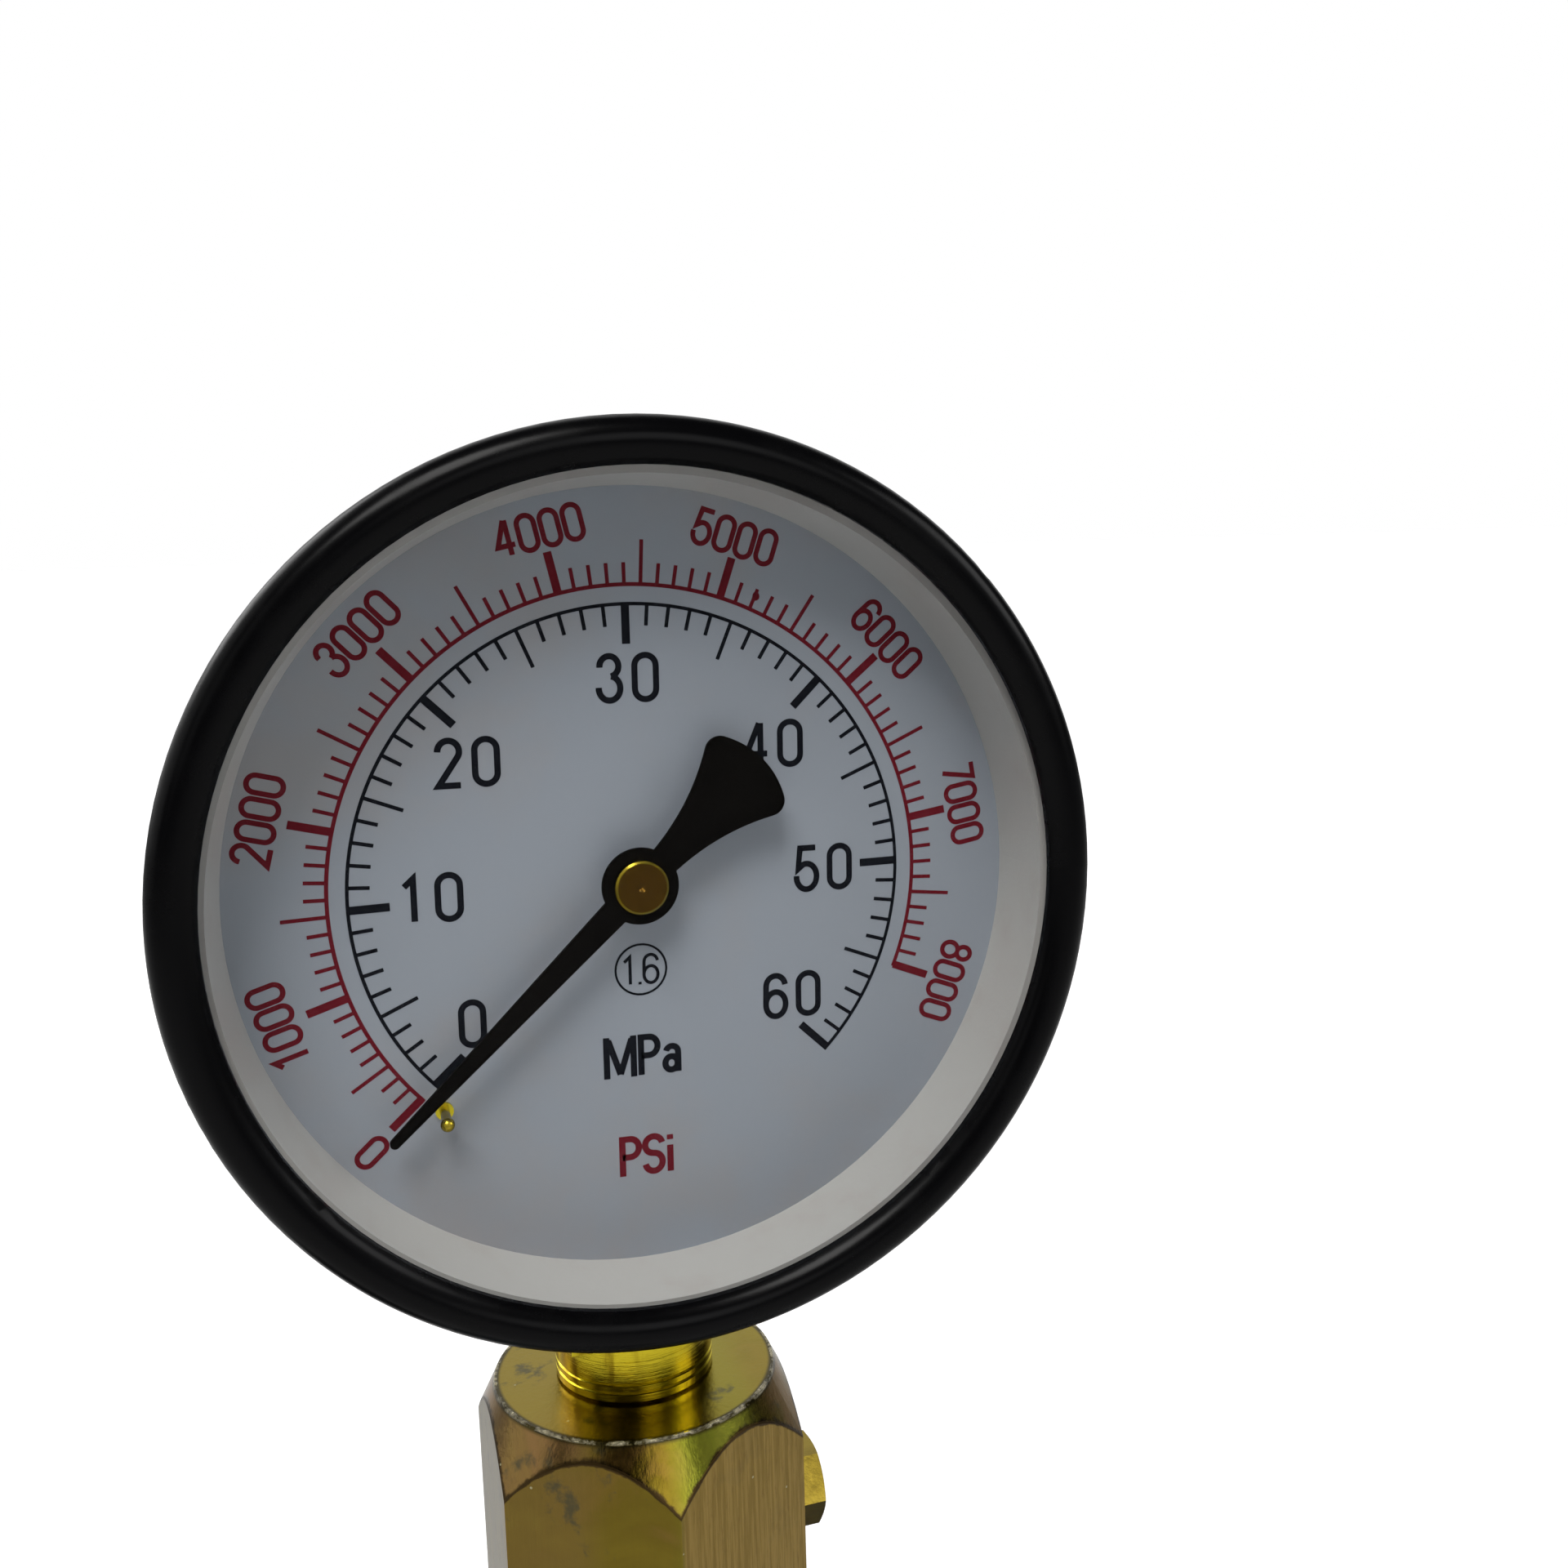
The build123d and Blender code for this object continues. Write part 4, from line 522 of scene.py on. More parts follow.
def painted(name, color, roughness, grain_size, grain_height, worn, gloss):
    """Sprayed or stoved paint: orange peel, faint dust and dull patches."""
    finish = Finish(name, color, roughness, Specular_IOR_Level=gloss)
    cloud = finish.use(STAIN, Size=90.0, Clean=(*color, 1), Stained=(*worn, 1), Amount=0.5)
    finish.feed("Base Color", cloud.outputs["Color"])
    dullest = min(1.0, roughness + DULL_PATCHES)
    dull = finish.add("ShaderNodeMapRange", {"To Min": roughness, "To Max": dullest})
    finish.join(cloud.outputs["Mask"], dull.inputs["Value"])
    finish.feed("Roughness", dull.outputs["Result"])
    finish.bump(finish.noise(scale=grain_size, detail=2.0), grain_height)
    return finish.material


def moulded(name, color, roughness, pale):
    """Moulded plastic or rubber with a fine grain and faint scuffs."""
    finish = Finish(name, color, roughness)
    scuffs = {"Size": 140.0, "Amount": 0.45, "Low": 0.5, "High": 0.8}
    cloud = finish.use(STAIN, Clean=(*color, 1), Stained=(*pale, 1), **scuffs)
    finish.feed("Base Color", cloud.outputs["Color"])
    finish.bump(finish.noise(scale=1400.0, detail=3.0), MOULDED_GRAIN)
    return finish.material


def outlet_thread(finish):
    """Height of the thread on the outlet, a helix round an axis along Y."""
    middle = (OUTLET_LOW + OUTLET_HIGH) / 2
    tip = OUTLET_LOW.y
    x, y, z = finish.axes()
    right = finish.maths("SUBTRACT", x, middle.x)
    up = finish.maths("SUBTRACT", z, middle.z)
    turn = finish.maths("DIVIDE", finish.maths("ARCTAN2", up, right), 2 * pi)
    climb = finish.maths("ADD", finish.maths("DIVIDE", y, THREAD_PITCH), turn)
    wave = finish.maths("MULTIPLY", finish.maths("PINGPONG", climb, 0.5), 2.0)
    radius = finish.length(right, up)
    below_crest = finish.spread(radius, THREAD_R + THREAD_EDGE, THREAD_R)
    above_root = finish.spread(radius, THREAD_R - THREAD_ROOT, THREAD_R - THREAD_ROOT + THREAD_EDGE)
    after_tip = finish.spread(y, tip + THREAD_START, tip + THREAD_START + THREAD_FADE)
    before_end = finish.spread(y, tip + THREAD_L, tip + THREAD_L - THREAD_FADE)
    around = finish.maths("MULTIPLY", below_crest, above_root)
    along = finish.maths("MULTIPLY", before_end, after_tip)
    return finish.maths("MULTIPLY", wave, finish.maths("MULTIPLY", around, along))


def turned_metal(name, color, roughness, dark, spread, threaded=False):
    """Bare or plated metal with tool lines and oily stains."""
    finish = Finish(name, color, roughness, metallic=1.0)
    cloud = finish.use(STAIN, Size=120.0, Clean=(*color, 1), Stained=(*dark, 1), Amount=0.6)
    finish.feed("Base Color", cloud.outputs["Color"])
    lines = finish.use(BRUSH, Spread=spread)
    smoothest, roughest = roughness * SMOOTHER, min(1.0, roughness * ROUGHER)
    rough = finish.add("ShaderNodeMapRange", {"To Min": smoothest, "To Max": roughest})
    finish.join(lines.outputs["Height"], rough.inputs["Value"])
    finish.feed("Roughness", rough.outputs["Result"])
    fine = finish.bump(lines.outputs["Height"], BRUSH_DEPTH)
    if threaded:
        finish.bump(outlet_thread(finish), THREAD_DEPTH, under=fine)
    return finish.material


def pillar_measures(finish):
    """Where a point of the pillar lies.

    Gives its X, how far it is outside the rim, its depth below the flats
    and below the cone, and its depth below the top, all in metres.
    """
    x, y, z = finish.axes()
    radius = finish.length(x, y)
    turned = finish.maths("SUBTRACT", finish.maths("ARCTAN2", y, x), radians(PILLAR_TURN))
    side = finish.maths("FRACT", finish.maths("DIVIDE", turned, SIXTH_TURN))
    across = finish.maths("MULTIPLY", finish.maths("SUBTRACT", side, 0.5), SIXTH_TURN)
    reach = finish.maths("MULTIPLY", radius, finish.maths("COSINE", across))
    off_flat = finish.maths("SUBTRACT", PILLAR_AF * MM / 2, reach)
    from_rim = finish.maths("SUBTRACT", radius, PILLAR_TOP_R * MM)
    below_top = finish.maths("SUBTRACT", PILLAR_HIGH.z, z)
    off_cone = finish.maths("SUBTRACT", below_top, finish.maths("MULTIPLY", from_rim, PILLAR_SLOPE))
    return x, from_rim, off_flat, off_cone, below_top


# the pillar's zones: where each starts and where it is full, in metres
FLAT_DEPTH = (0.0002, 0.0001)
TOP_DEPTH = (0.0003, 0.0001)
RIGHT_FLATS_X = (0.0006, 0.0016)
LEFT_SIDE_X = (-0.0200, -0.0202)
# the cone's front, where its highlight falls, is tinted green: a painted highlight
HIGHLIGHT_START_X = (-0.001, 0.004)
HIGHLIGHT_END_X = (0.016, 0.011)
# the pillar's left is tinted tan: a painted reflection
REFLECTION_TAN_X = (-0.007, -0.012)

# its edges: how far off each ends and how near it is full, and how ragged
BORDER_W = (0.00032, 0.00002)
BORDER_RAG = 0.00018
# width of the painted shade in the groove at the rim
GROOVE_SHADE_W = (0.0009, 0.0003)
BURR_W = (0.00036, 0.00018)
BURR_RAG = 0.0012
BURR_FLATNESS = 0.8
BURR_H = 0.00025
DENT_H = 0.00002

# its gloss, and the strength of its grey smudges left and right
CONE_ROUGHNESS = 0.15
FLAT_ROUGHNESS = 0.30
LINE_ROUGHNESS = 0.08
SMUDGE_LEFT = 0.75
SMUDGE_RIGHT = 0.10

# tints of the passivated zinc along a noise, and its colours by zone; the green, tan, olive and grey
# zones are a painted highlight and painted reflections
ZINC_TINTS = (
    (0.32, (0.10, 0.068, 0.012)),
    (0.43, (0.20, 0.115, 0.028)),
    (0.50, (0.145, 0.10, 0.011)),
    (0.60, (0.21, 0.155, 0.016)),
    (0.70, (0.24, 0.23, 0.022)),
)
# green laid where the cone's highlight falls: painted highlight colour
ZINC_HIGHLIGHT_GREEN = (0.20, 0.23, 0.024)
# tan standing in for the reflection on the cone's left: painted reflection
ZINC_REFLECTION_TAN = (0.24, 0.14, 0.06)
ZINC_TOP = (0.26, 0.20, 0.014)
# olive of the left flats, standing in for their reflection: painted reflection
ZINC_REFLECTION_OLIVE = (0.125, 0.092, 0.014)
ZINC_BRUSHED_LOW = (0.195, 0.128, 0.028)
ZINC_BRUSHED_HIGH = (0.275, 0.185, 0.05)
ZINC_SCRATCH = (0.13, 0.075, 0.018)
# grey of the left side face, seen at a grazing angle, stands in for its reflection: painted reflection
ZINC_REFLECTION_GREY_LOW = (0.10, 0.085, 0.045)
ZINC_REFLECTION_GREY_HIGH = (0.19, 0.16, 0.09)
ZINC_SMUDGE = (0.055, 0.055, 0.035)
ZINC_BORDER = (0.045, 0.028, 0.01)
ZINC_GROOVE_SHADE = (0.05, 0.04, 0.012)
ZINC_BURR = (0.50, 0.45, 0.30)
ZINC_CHIP = (0.34, 0.31, 0.18)


def zinc_zones(finish, x, flat, below_top, lines):
    """Colour of the top, the cone, the brushed flats and the grey left side, with a painted highlight and
    painted reflections by place.
    """
    right = finish.maths("MULTIPLY", flat, finish.spread(x, *RIGHT_FLATS_X))
    left_side = finish.maths("MULTIPLY", flat, finish.spread(x, *LEFT_SIDE_X))
    highlight_green = finish.maths("MULTIPLY", finish.spread(x, *HIGHLIGHT_START_X), finish.spread(x, *HIGHLIGHT_END_X))
    tints = finish.noise(scale=55.0, detail=5.0, roughness=0.55, distortion=0.6)
    color = finish.colors_along(tints, ZINC_TINTS)
    reflection_tan = finish.spread(x, *REFLECTION_TAN_X)
    top = finish.spread(below_top, *TOP_DEPTH)
    left = finish.maths("SUBTRACT", flat, right)
    # green over the cone's highlight: painted highlight
    color = finish.tint(color, highlight_green, share=0.75, over=ZINC_HIGHLIGHT_GREEN)
    # tan over the left of the pillar: painted reflection
    color = finish.tint(color, reflection_tan, share=0.6, over=ZINC_REFLECTION_TAN)
    color = finish.tint(color, top, share=0.7, over=ZINC_TOP)
    # olive over the left flats: painted reflection
    color = finish.tint(color, left, share=0.6, over=ZINC_REFLECTION_OLIVE)

    scratch = finish.spread(lines, low=0.25, high=0.75)
    brushed = finish.blend(scratch, ZINC_BRUSHED_LOW, ZINC_BRUSHED_HIGH)
    crossed = finish.use(BRUSH, Spread=SHORT_SCRATCHES, Low=0.55, High=0.75)
    brushed = finish.tint(brushed, crossed.outputs["Height"], share=0.6, over=ZINC_SCRATCH)
    color = finish.blend(right, color, brushed)
    # grey over the left side face: painted reflection
    grey = finish.blend(scratch, ZINC_REFLECTION_GREY_LOW, ZINC_REFLECTION_GREY_HIGH)
    color = finish.blend(left_side, color, grey)
    amount = finish.maths("MULTIPLY_ADD", right, SMUDGE_RIGHT - SMUDGE_LEFT, SMUDGE_LEFT)
    smears = {"Size": 150.0, "Amount": amount, "Low": 0.55, "High": 0.66}
    smudge = finish.use(STAIN, Clean=color, Stained=(*ZINC_SMUDGE, 1), **smears)
    return smudge.outputs["Color"]


def zinc_edges(finish, color, from_rim, off_flat, off_cone, below_top):
    """Dark ragged borders of the flats, painted shade in the groove and the pale burr of the rim.

    Gives the colour with these edges, and the burr's mask.
    """
    rag = finish.noise(scale=420.0, detail=6.0, roughness=0.7)
    uneven = finish.spread(rag, low=0.40, high=0.62)
    near_flat = finish.maths("ABSOLUTE", off_flat)
    near_cone = finish.maths("ABSOLUTE", off_cone)
    near_border = finish.maths("MAXIMUM", near_flat, near_cone)
    ragged = finish.maths("SUBTRACT", near_border, finish.maths("MULTIPLY", uneven, BORDER_RAG))
    color = finish.blend(finish.spread(ragged, *BORDER_W), color, ZINC_BORDER)
    near_rim = finish.maths("MAXIMUM", finish.maths("ABSOLUTE", from_rim), below_top)
    # darker band in the groove at the rim: painted shade
    color = finish.blend(finish.spread(near_rim, *GROOVE_SHADE_W), color, ZINC_GROOVE_SHADE)
    jag = finish.maths("MULTIPLY_ADD", rag, BURR_RAG, -BURR_RAG / 2)
    shifted_rim = finish.maths("ABSOLUTE", finish.maths("ADD", from_rim, jag))
    near_burr = finish.maths("MAXIMUM", shifted_rim, finish.maths("MULTIPLY", below_top, BURR_FLATNESS))
    burr = finish.maths("MULTIPLY", finish.spread(near_burr, *BURR_W), uneven)
    return finish.blend(burr, color, ZINC_BURR), burr


def zinc_pillar_finish():
    """Yellow passivated zinc: bright cone, brushed flats, burred rim."""
    finish = Finish("zinc_pillar", (0.30, 0.20, 0.04), 0.2, metallic=1.0)
    x, from_rim, off_flat, off_cone, below_top = pillar_measures(finish)
    flat = finish.spread(off_flat, *FLAT_DEPTH)
    lines = finish.use(BRUSH, Spread=ALONG_Z).outputs["Height"]
    color = zinc_zones(finish, x, flat, below_top, lines)
    color, burr = zinc_edges(finish, color, from_rim, off_flat, off_cone, below_top)
    chips = finish.use(SPECKS, Spacing=900.0, Radius=0.16, Share=0.02)
    finish.feed("Base Color", finish.blend(chips.outputs["Mask"], color, ZINC_CHIP))

    gloss = finish.spread(flat, 0.0, 1.0, to_low=CONE_ROUGHNESS, to_high=FLAT_ROUGHNESS)
    finish.feed("Roughness", finish.maths("MULTIPLY_ADD", lines, LINE_ROUGHNESS, gloss))
    fine = finish.bump(lines, BRUSH_DEPTH)
    dented = finish.bump(finish.noise(scale=900.0, detail=4.0, roughness=0.6), DENT_H, under=fine)
    finish.bump(burr, BURR_H, under=dented)
    return finish.material


# brass of the gauge: tarnish drawn out along Z, its dark vertical streaks also a painted reflection; the
# brass before the dial and the bush's brown face darkened as a painted dark reflection
BRASS_CLEAN = (0.52, 0.42, 0.022)
BRASS_TARNISH_AND_DARK_BANDS = (0.11, 0.05, 0.003)
BRASS_BEFORE_DIAL_DARKENED = (0.30, 0.22, 0.02)
BUSH_FACE_DARK_REFLECTION = (0.075, 0.038, 0.006)
BUSH_FACE_R = (0.0031, 0.0029)
TARNISH_STRETCH = (1.0, 1.0, 0.15)


def brass_finish():
    """Turned brass of the stem and the small gauge pieces."""
    finish = Finish("gauge_brass", BRASS_CLEAN, 0.15, metallic=1.0)
    drawn = finish.add("ShaderNodeVectorMath", operation="MULTIPLY")
    finish.join(finish.place, drawn.inputs[0])
    drawn.inputs[1].default_value = TARNISH_STRETCH
    # the tarnish's dark vertical streaks also stand in for dark reflected bands: painted reflection
    colors = {"Clean": (*BRASS_CLEAN, 1), "Stained": (*BRASS_TARNISH_AND_DARK_BANDS, 1)}
    tarnish = {"Size": 190.0, "Amount": 0.8, "Low": 0.50, "High": 0.66}
    cloud = finish.use(STAIN, Place=drawn.outputs["Vector"], **colors, **tarnish)
    x, y, z = finish.axes()
    # brass before the dial is darker, and the bush's face inside its bright rim darker still: painted
    # dark reflection
    before_dial = finish.spread(y, DIAL_FACE - MM, DIAL_FACE - 2 * MM)
    right = finish.maths("SUBTRACT", x, DIAL_X)
    up = finish.maths("SUBTRACT", z, DIAL_Z)
    near_shaft = finish.spread(finish.length(right, up), *BUSH_FACE_R)
    face = finish.maths("MULTIPLY", before_dial, near_shaft)
    color = finish.blend(before_dial, cloud.outputs["Color"], BRASS_BEFORE_DIAL_DARKENED)
    finish.feed("Base Color", finish.blend(face, color, BUSH_FACE_DARK_REFLECTION))
    lines = finish.use(BRUSH, Spread=ROUND_Z).outputs["Height"]
    rough = finish.add("ShaderNodeMapRange", {"To Min": 0.10, "To Max": 0.22})
    finish.join(lines, rough.inputs["Value"])
    finish.feed("Roughness", rough.outputs["Result"])
    finish.bump(lines, BRASS_BRUSH_DEPTH)
    return finish.material


def dial_finish():
    """Pale lacquer with a faint cloud and a slight orange peel, set darker than white as painted shade.
    """
    # the lacquer's colours are set darker than a white dial, standing in for the dim light on it: painted
    # shade
    dimmed_pale = (0.232, 0.252, 0.288)
    pinkish = (0.245, 0.232, 0.235)
    finish = Finish("dial_white", dimmed_pale, 0.42)
    cloud = finish.use(STAIN, Size=28.0, Clean=(*dimmed_pale, 1), Stained=(*pinkish, 1), Amount=0.7)
    finish.feed("Base Color", cloud.outputs["Color"])
    finish.bump(finish.noise(scale=900.0, detail=2.0), LACQUER_GRAIN)
    return finish.material


def ink_finish(name, color, pale):
    """Screen ink with a slightly uneven cover."""
    finish = Finish(name, color, 0.6, Specular_IOR_Level=0.06)
    cloud = finish.use(STAIN, Size=700.0, Clean=(*color, 1), Stained=(*pale, 1), Amount=0.35)
    finish.feed("Base Color", cloud.outputs["Color"])
    return finish.material


def glass_finish():
    """Clear flat glass that lets lamp light through to the dial."""
    clear_tint = (0.96, 0.98, 0.98)
    finish = Finish("lens_glass", clear_tint, 0.02, Transmission_Weight=1.0, IOR=LENS_IOR)
    wiped, smeared = (0.02, 0.02, 0.02, 1), (0.05, 0.05, 0.05, 1)
    smear = finish.use(STAIN, Size=45.0, Clean=wiped, Stained=smeared, Amount=1.0)
    finish.feed("Roughness", smear.outputs["Color"])
    clear = finish.add("ShaderNodeBsdfTransparent")
    path = finish.add("ShaderNodeLightPath")
    either = finish.maths("MAXIMUM", path.outputs["Is Shadow Ray"], path.outputs["Is Diffuse Ray"])
    mix = finish.add("ShaderNodeMixShader")
    finish.join(either, mix.inputs["Fac"])
    finish.join(finish.shader.outputs["BSDF"], mix.inputs[1])
    finish.join(clear.outputs["BSDF"], mix.inputs[2])
    finish.join(mix.outputs["Shader"], finish.out.inputs["Surface"])
    return finish.material


def cast_paint_finish():
    """Hammered grey paint with darker patches."""
    fresh, dirty = (0.17, 0.20, 0.21, 1), (0.10, 0.12, 0.13, 1)
    finish = Finish("cast_paint", (0.16, 0.19, 0.20), 0.38)
    hammer = finish.add("ShaderNodeTexVoronoi", {"Scale": 420.0}, feature="SMOOTH_F1")
    finish.join(finish.place, hammer.inputs["Vector"])
    cloud = finish.use(STAIN, Size=50.0, Clean=fresh, Stained=dirty, Amount=0.7)
    finish.feed("Base Color", cloud.outputs["Color"])
    finish.bump(hammer.outputs["Distance"], HAMMER_H, strength=0.6)
    return finish.material


# metal: colour, roughness, colour of its stains and the run of its tool lines
METALS = {
    "zinc_screw": ((0.25, 0.18, 0.025), 0.2, (0.07, 0.045, 0.008), EVENLY),
    "hard_steel": ((0.55, 0.56, 0.58), 0.24, (0.36, 0.36, 0.37), ROUND_Z),
    "spring_steel": ((0.33, 0.34, 0.36), 0.36, (0.20, 0.20, 0.21), EVENLY),
    "plated_steel": ((0.60, 0.61, 0.62), 0.30, (0.42, 0.42, 0.42), EVENLY),
    "copper_ring": ((0.66, 0.34, 0.20), 0.33, (0.36, 0.17, 0.10), EVENLY),
    "cup_metal": ((0.66, 0.67, 0.68), 0.32, (0.50, 0.50, 0.50), ROUND_Z),
    "strainer_brass": ((0.55, 0.42, 0.12), 0.4, (0.30, 0.2, 0.06), EVENLY),
    "shaft_steel": ((0.55, 0.56, 0.58), 0.22, (0.4, 0.4, 0.4), ROUND_Y),
    "tube_bronze": ((0.50, 0.30, 0.13), 0.3, (0.30, 0.17, 0.07), EVENLY),
    "hair_steel": ((0.33, 0.36, 0.45), 0.28, (0.22, 0.24, 0.3), EVENLY),
}

# plastic, rubber and fibre: colour, roughness and colour of the scuffs
MOULDINGS = {
    "black_seal": ((0.02, 0.02, 0.02), 0.55, (0.05, 0.05, 0.05)),
    "packing": ((0.06, 0.06, 0.06), 0.8, (0.10, 0.10, 0.10)),
    "knob_black": ((0.02, 0.02, 0.023), 0.32, (0.05, 0.05, 0.05)),
    "grip_rubber": ((0.025, 0.025, 0.025), 0.62, (0.06, 0.06, 0.06)),
    "cup_fibre": ((0.30, 0.11, 0.06), 0.7, (0.22, 0.08, 0.05)),
    "lid_black": ((0.03, 0.03, 0.03), 0.4, (0.06, 0.06, 0.06)),
    "gasket_black": ((0.02, 0.02, 0.02), 0.6, (0.04, 0.04, 0.04)),
    "spacer_pale": ((0.36, 0.35, 0.335), 0.35, (0.31, 0.275, 0.255)),
}

# paint: colour, roughness, size and height of the grain, worn colour and gloss
PAINTS = {
    "lever_paint": ((0.03, 0.03, 0.033), 0.4, 700.0, 0.00005, (0.07, 0.07, 0.07), 0.5),
    "case_black": ((0.012, 0.012, 0.013), 0.36, 500.0, 0.00004, (0.03, 0.03, 0.03), 0.5),
    "bezel_black": ((0.0012, 0.0012, 0.0015), 0.24, 260.0, 0.000006, (0.0018, 0.0018, 0.002), 0.07),
    "pointer_black": ((0.0018, 0.0014, 0.0012), 0.55, 900.0, 0.00001, (0.003, 0.0024, 0.002), 0.02),
}


def build_finishes():
    """Every material slot of the record with its material."""
    finishes = {
        "cast_paint": cast_paint_finish(),
        "zinc_pillar": zinc_pillar_finish(),
        "lens_glass": glass_finish(),
        "dial_white": dial_finish(),
        "gauge_brass": brass_finish(),
    }
    for name, look in METALS.items():
        finishes[name] = turned_metal(name, *look, threaded=name == "plated_steel")
    for name, look in MOULDINGS.items():
        finishes[name] = moulded(name, *look)
    for name, look in PAINTS.items():
        finishes[name] = painted(name, *look)
    return finishes


def dress_nodes(finishes):
    """Give every CAD node the material of its slot."""
    for part in frame["record"]["subparts"]:
        mesh = nodes[part["node"]].data
        material = finishes[part["material_slot"]]
        if mesh.materials:
            for slot in nodes[part["node"]].material_slots:
                slot.material = material
        else:
            mesh.materials.append(material)


def on_dial(u, v, lift):
    """Point before the dial, from millimetres right, up and forward."""
    return DIAL_MIDDLE + Vector((u * MM, -lift * MM, v * MM))


def polar(radius, angle, x=PRINT_X, z=PRINT_Z):
    """Right and up distances of a point at a radius and an angle in degrees."""
    return Vector((x + radius * cos(radians(angle)), z + radius * sin(radians(angle))))


def scale_arc(radius, start, end):
    """Points of a scale's base line between two angles."""
    return arc_points(PRINT_X, PRINT_Z, radius, radius, start, end, SCALE_ARC_STEP)


def arc_points(x, y, half_w, half_h, start, end, step=ARC_STEP):
    """Points along part of an ellipse."""
    count = max(2, int(abs(end - start) / step) + 1)
    points = []
    for k in range(count + 1):
        angle = radians(start + (end - start) * k / count)
        points.append(Vector((x + half_w * cos(angle), y + half_h * sin(angle))))
    return points


def stroke_points(stroke):
    """Centre line of a stroke, and whether it closes on itself."""
    points = []
    closed = False
    for item in stroke:
        if item == "close":
            closed = True
        elif len(item) == 2:
            points.append(Vector(item))
        else:
            points += arc_points(*item)
    whole = (points[0] - points[-1]).length < SAME_POINT
    if whole:
        points.pop()
    return points, closed or whole


def clean_line(points):
    """Drop points that repeat the one before."""
    kept = [points[0]]
    for point in points[1:]:
        if (point - kept[-1]).length > SAME_POINT:
            kept.append(point)
    return kept


def ribbon(points, width, closed):
    """Left and right edges of a line of even width, mitred at its bends."""
    points = clean_line(points)
    count = len(points)
    sides = ([], [])
    for k, point in enumerate(points):
        before = points[k - 1] if closed or k else None
        after = points[(k + 1) % count] if closed or k < count - 1 else None
        normals = []
        for a, b in ((before, point), (point, after)):
            if a is not None and b is not None:
                along = (b - a).normalized()
                normals.append(Vector((-along.y, along.x)))
        turn = sum(normals, Vector((0, 0)))
        turn.normalize()
        reach = width / 2 / max(MITRE_LIMIT, turn.dot(normals[0]))
        sides[0].append(point + turn * reach)
        sides[1].append(point - turn * reach)
    return sides


class Print:
    """Collects flat ink shapes and turns them into one thin mesh."""

    def __init__(self):
        self.points = []
        self.faces = []
        self.layer = 0

    def band(self, left, right, closed):
        """Add a ribbon between two edges as a thin closed body."""
        first = len(self.points)
        self.layer = (self.layer + 1) % INK_LAYERS
        low = INK_LIFT + self.layer * INK_LAYER_STEP
        count = len(left)
        for u, v in zip(left, right):
            for side, lift in ((u, low), (v, low), (v, low + INK_T), (u, low + INK_T)):
                self.points.append(on_dial(side.x, side.y, lift))
        spans = count if closed else count - 1
        for k in range(spans):
            a = first + 4 * k
            b = first + 4 * ((k + 1) % count)
            for corner in range(4):
                following = (corner + 1) % 4
                self.faces.append((a + corner, b + corner, b + following, a + following))
        if not closed:
            last = first + 4 * (count - 1)
            self.faces.append((first, first + 1, first + 2, first + 3))
            self.faces.append((last + 3, last + 2, last + 1, last))

    def line(self, points, width, closed=False):
        """Add a line of even width."""
        left, right = ribbon(points, width, closed)
        self.band(left, right, closed)

    def word(self, text, height, stroke, gap, place, turn=0.0):
        """Add figures side by side, centred on a place, turned in degrees."""
        tall = height - stroke
        width = sum(FIGURES[figure][0] for figure in text) * tall + gap * (len(text) - 1)
        x = -width / 2
        cosine, sine = cos(radians(turn)), sin(radians(turn))
        for figure in text:
            wide, strokes = FIGURES[figure]
            for parts in strokes:
                points, closed = stroke_points(parts)
                laid = []
                for point in points:
                    u = x + point.x * tall
                    v = (point.y - 0.5) * tall
                    spot = Vector((u * cosine - v * sine, u * sine + v * cosine))
                    laid.append(Vector(place) + spot)
                self.line(laid, stroke, closed)
            x += wide * tall + gap

    def piece(self, name, material):
        """Make the mesh object and hang it on the tester."""
        mesh = bpy.data.meshes.new(name)
        mesh.from_pydata([tuple(p) for p in self.points], [], self.faces)
        mesh.update()
        return hang(name, mesh, material, "tester")


def hang(name, mesh, material, body):
    """Make an object of a mesh, give it its material and its body."""
    obj = bpy.data.objects.new(name, mesh)
    bpy.context.scene.collection.objects.link(obj)
    mesh.materials.clear()
    mesh.materials.append(material)
    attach(obj, body)
    return obj


def coil_spring(node):
    """Copy of a coil spring's solid, hung on the tester in place of the hidden CAD node."""
    solid = nodes[node].data
    spring = hang(node + "_coils", solid.copy(), solid.materials[0], "tester")
    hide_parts(node)
    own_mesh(spring)


def grain(name, material, u, v, lift, size):
    """Small dark grain behind the glass."""
    reach = size / 2
    sides = range(GRAIN_SIDES)
    around = [polar(reach, 360 / GRAIN_SIDES * k, u, v) for k in sides]
    points = [on_dial(p.x, p.y, lift) for p in around]
    points += [on_dial(u, v, lift + reach), on_dial(u, v, lift - reach)]
    front, back = GRAIN_SIDES, GRAIN_SIDES + 1
    faces = [(k, (k + 1) % GRAIN_SIDES, front) for k in sides]
    faces += [((k + 1) % GRAIN_SIDES, k, back) for k in sides]
    mesh = bpy.data.meshes.new(name)
    mesh.from_pydata([tuple(p) for p in points], [], faces)
    mesh.update()
    return hang(name, mesh, material, "tester")


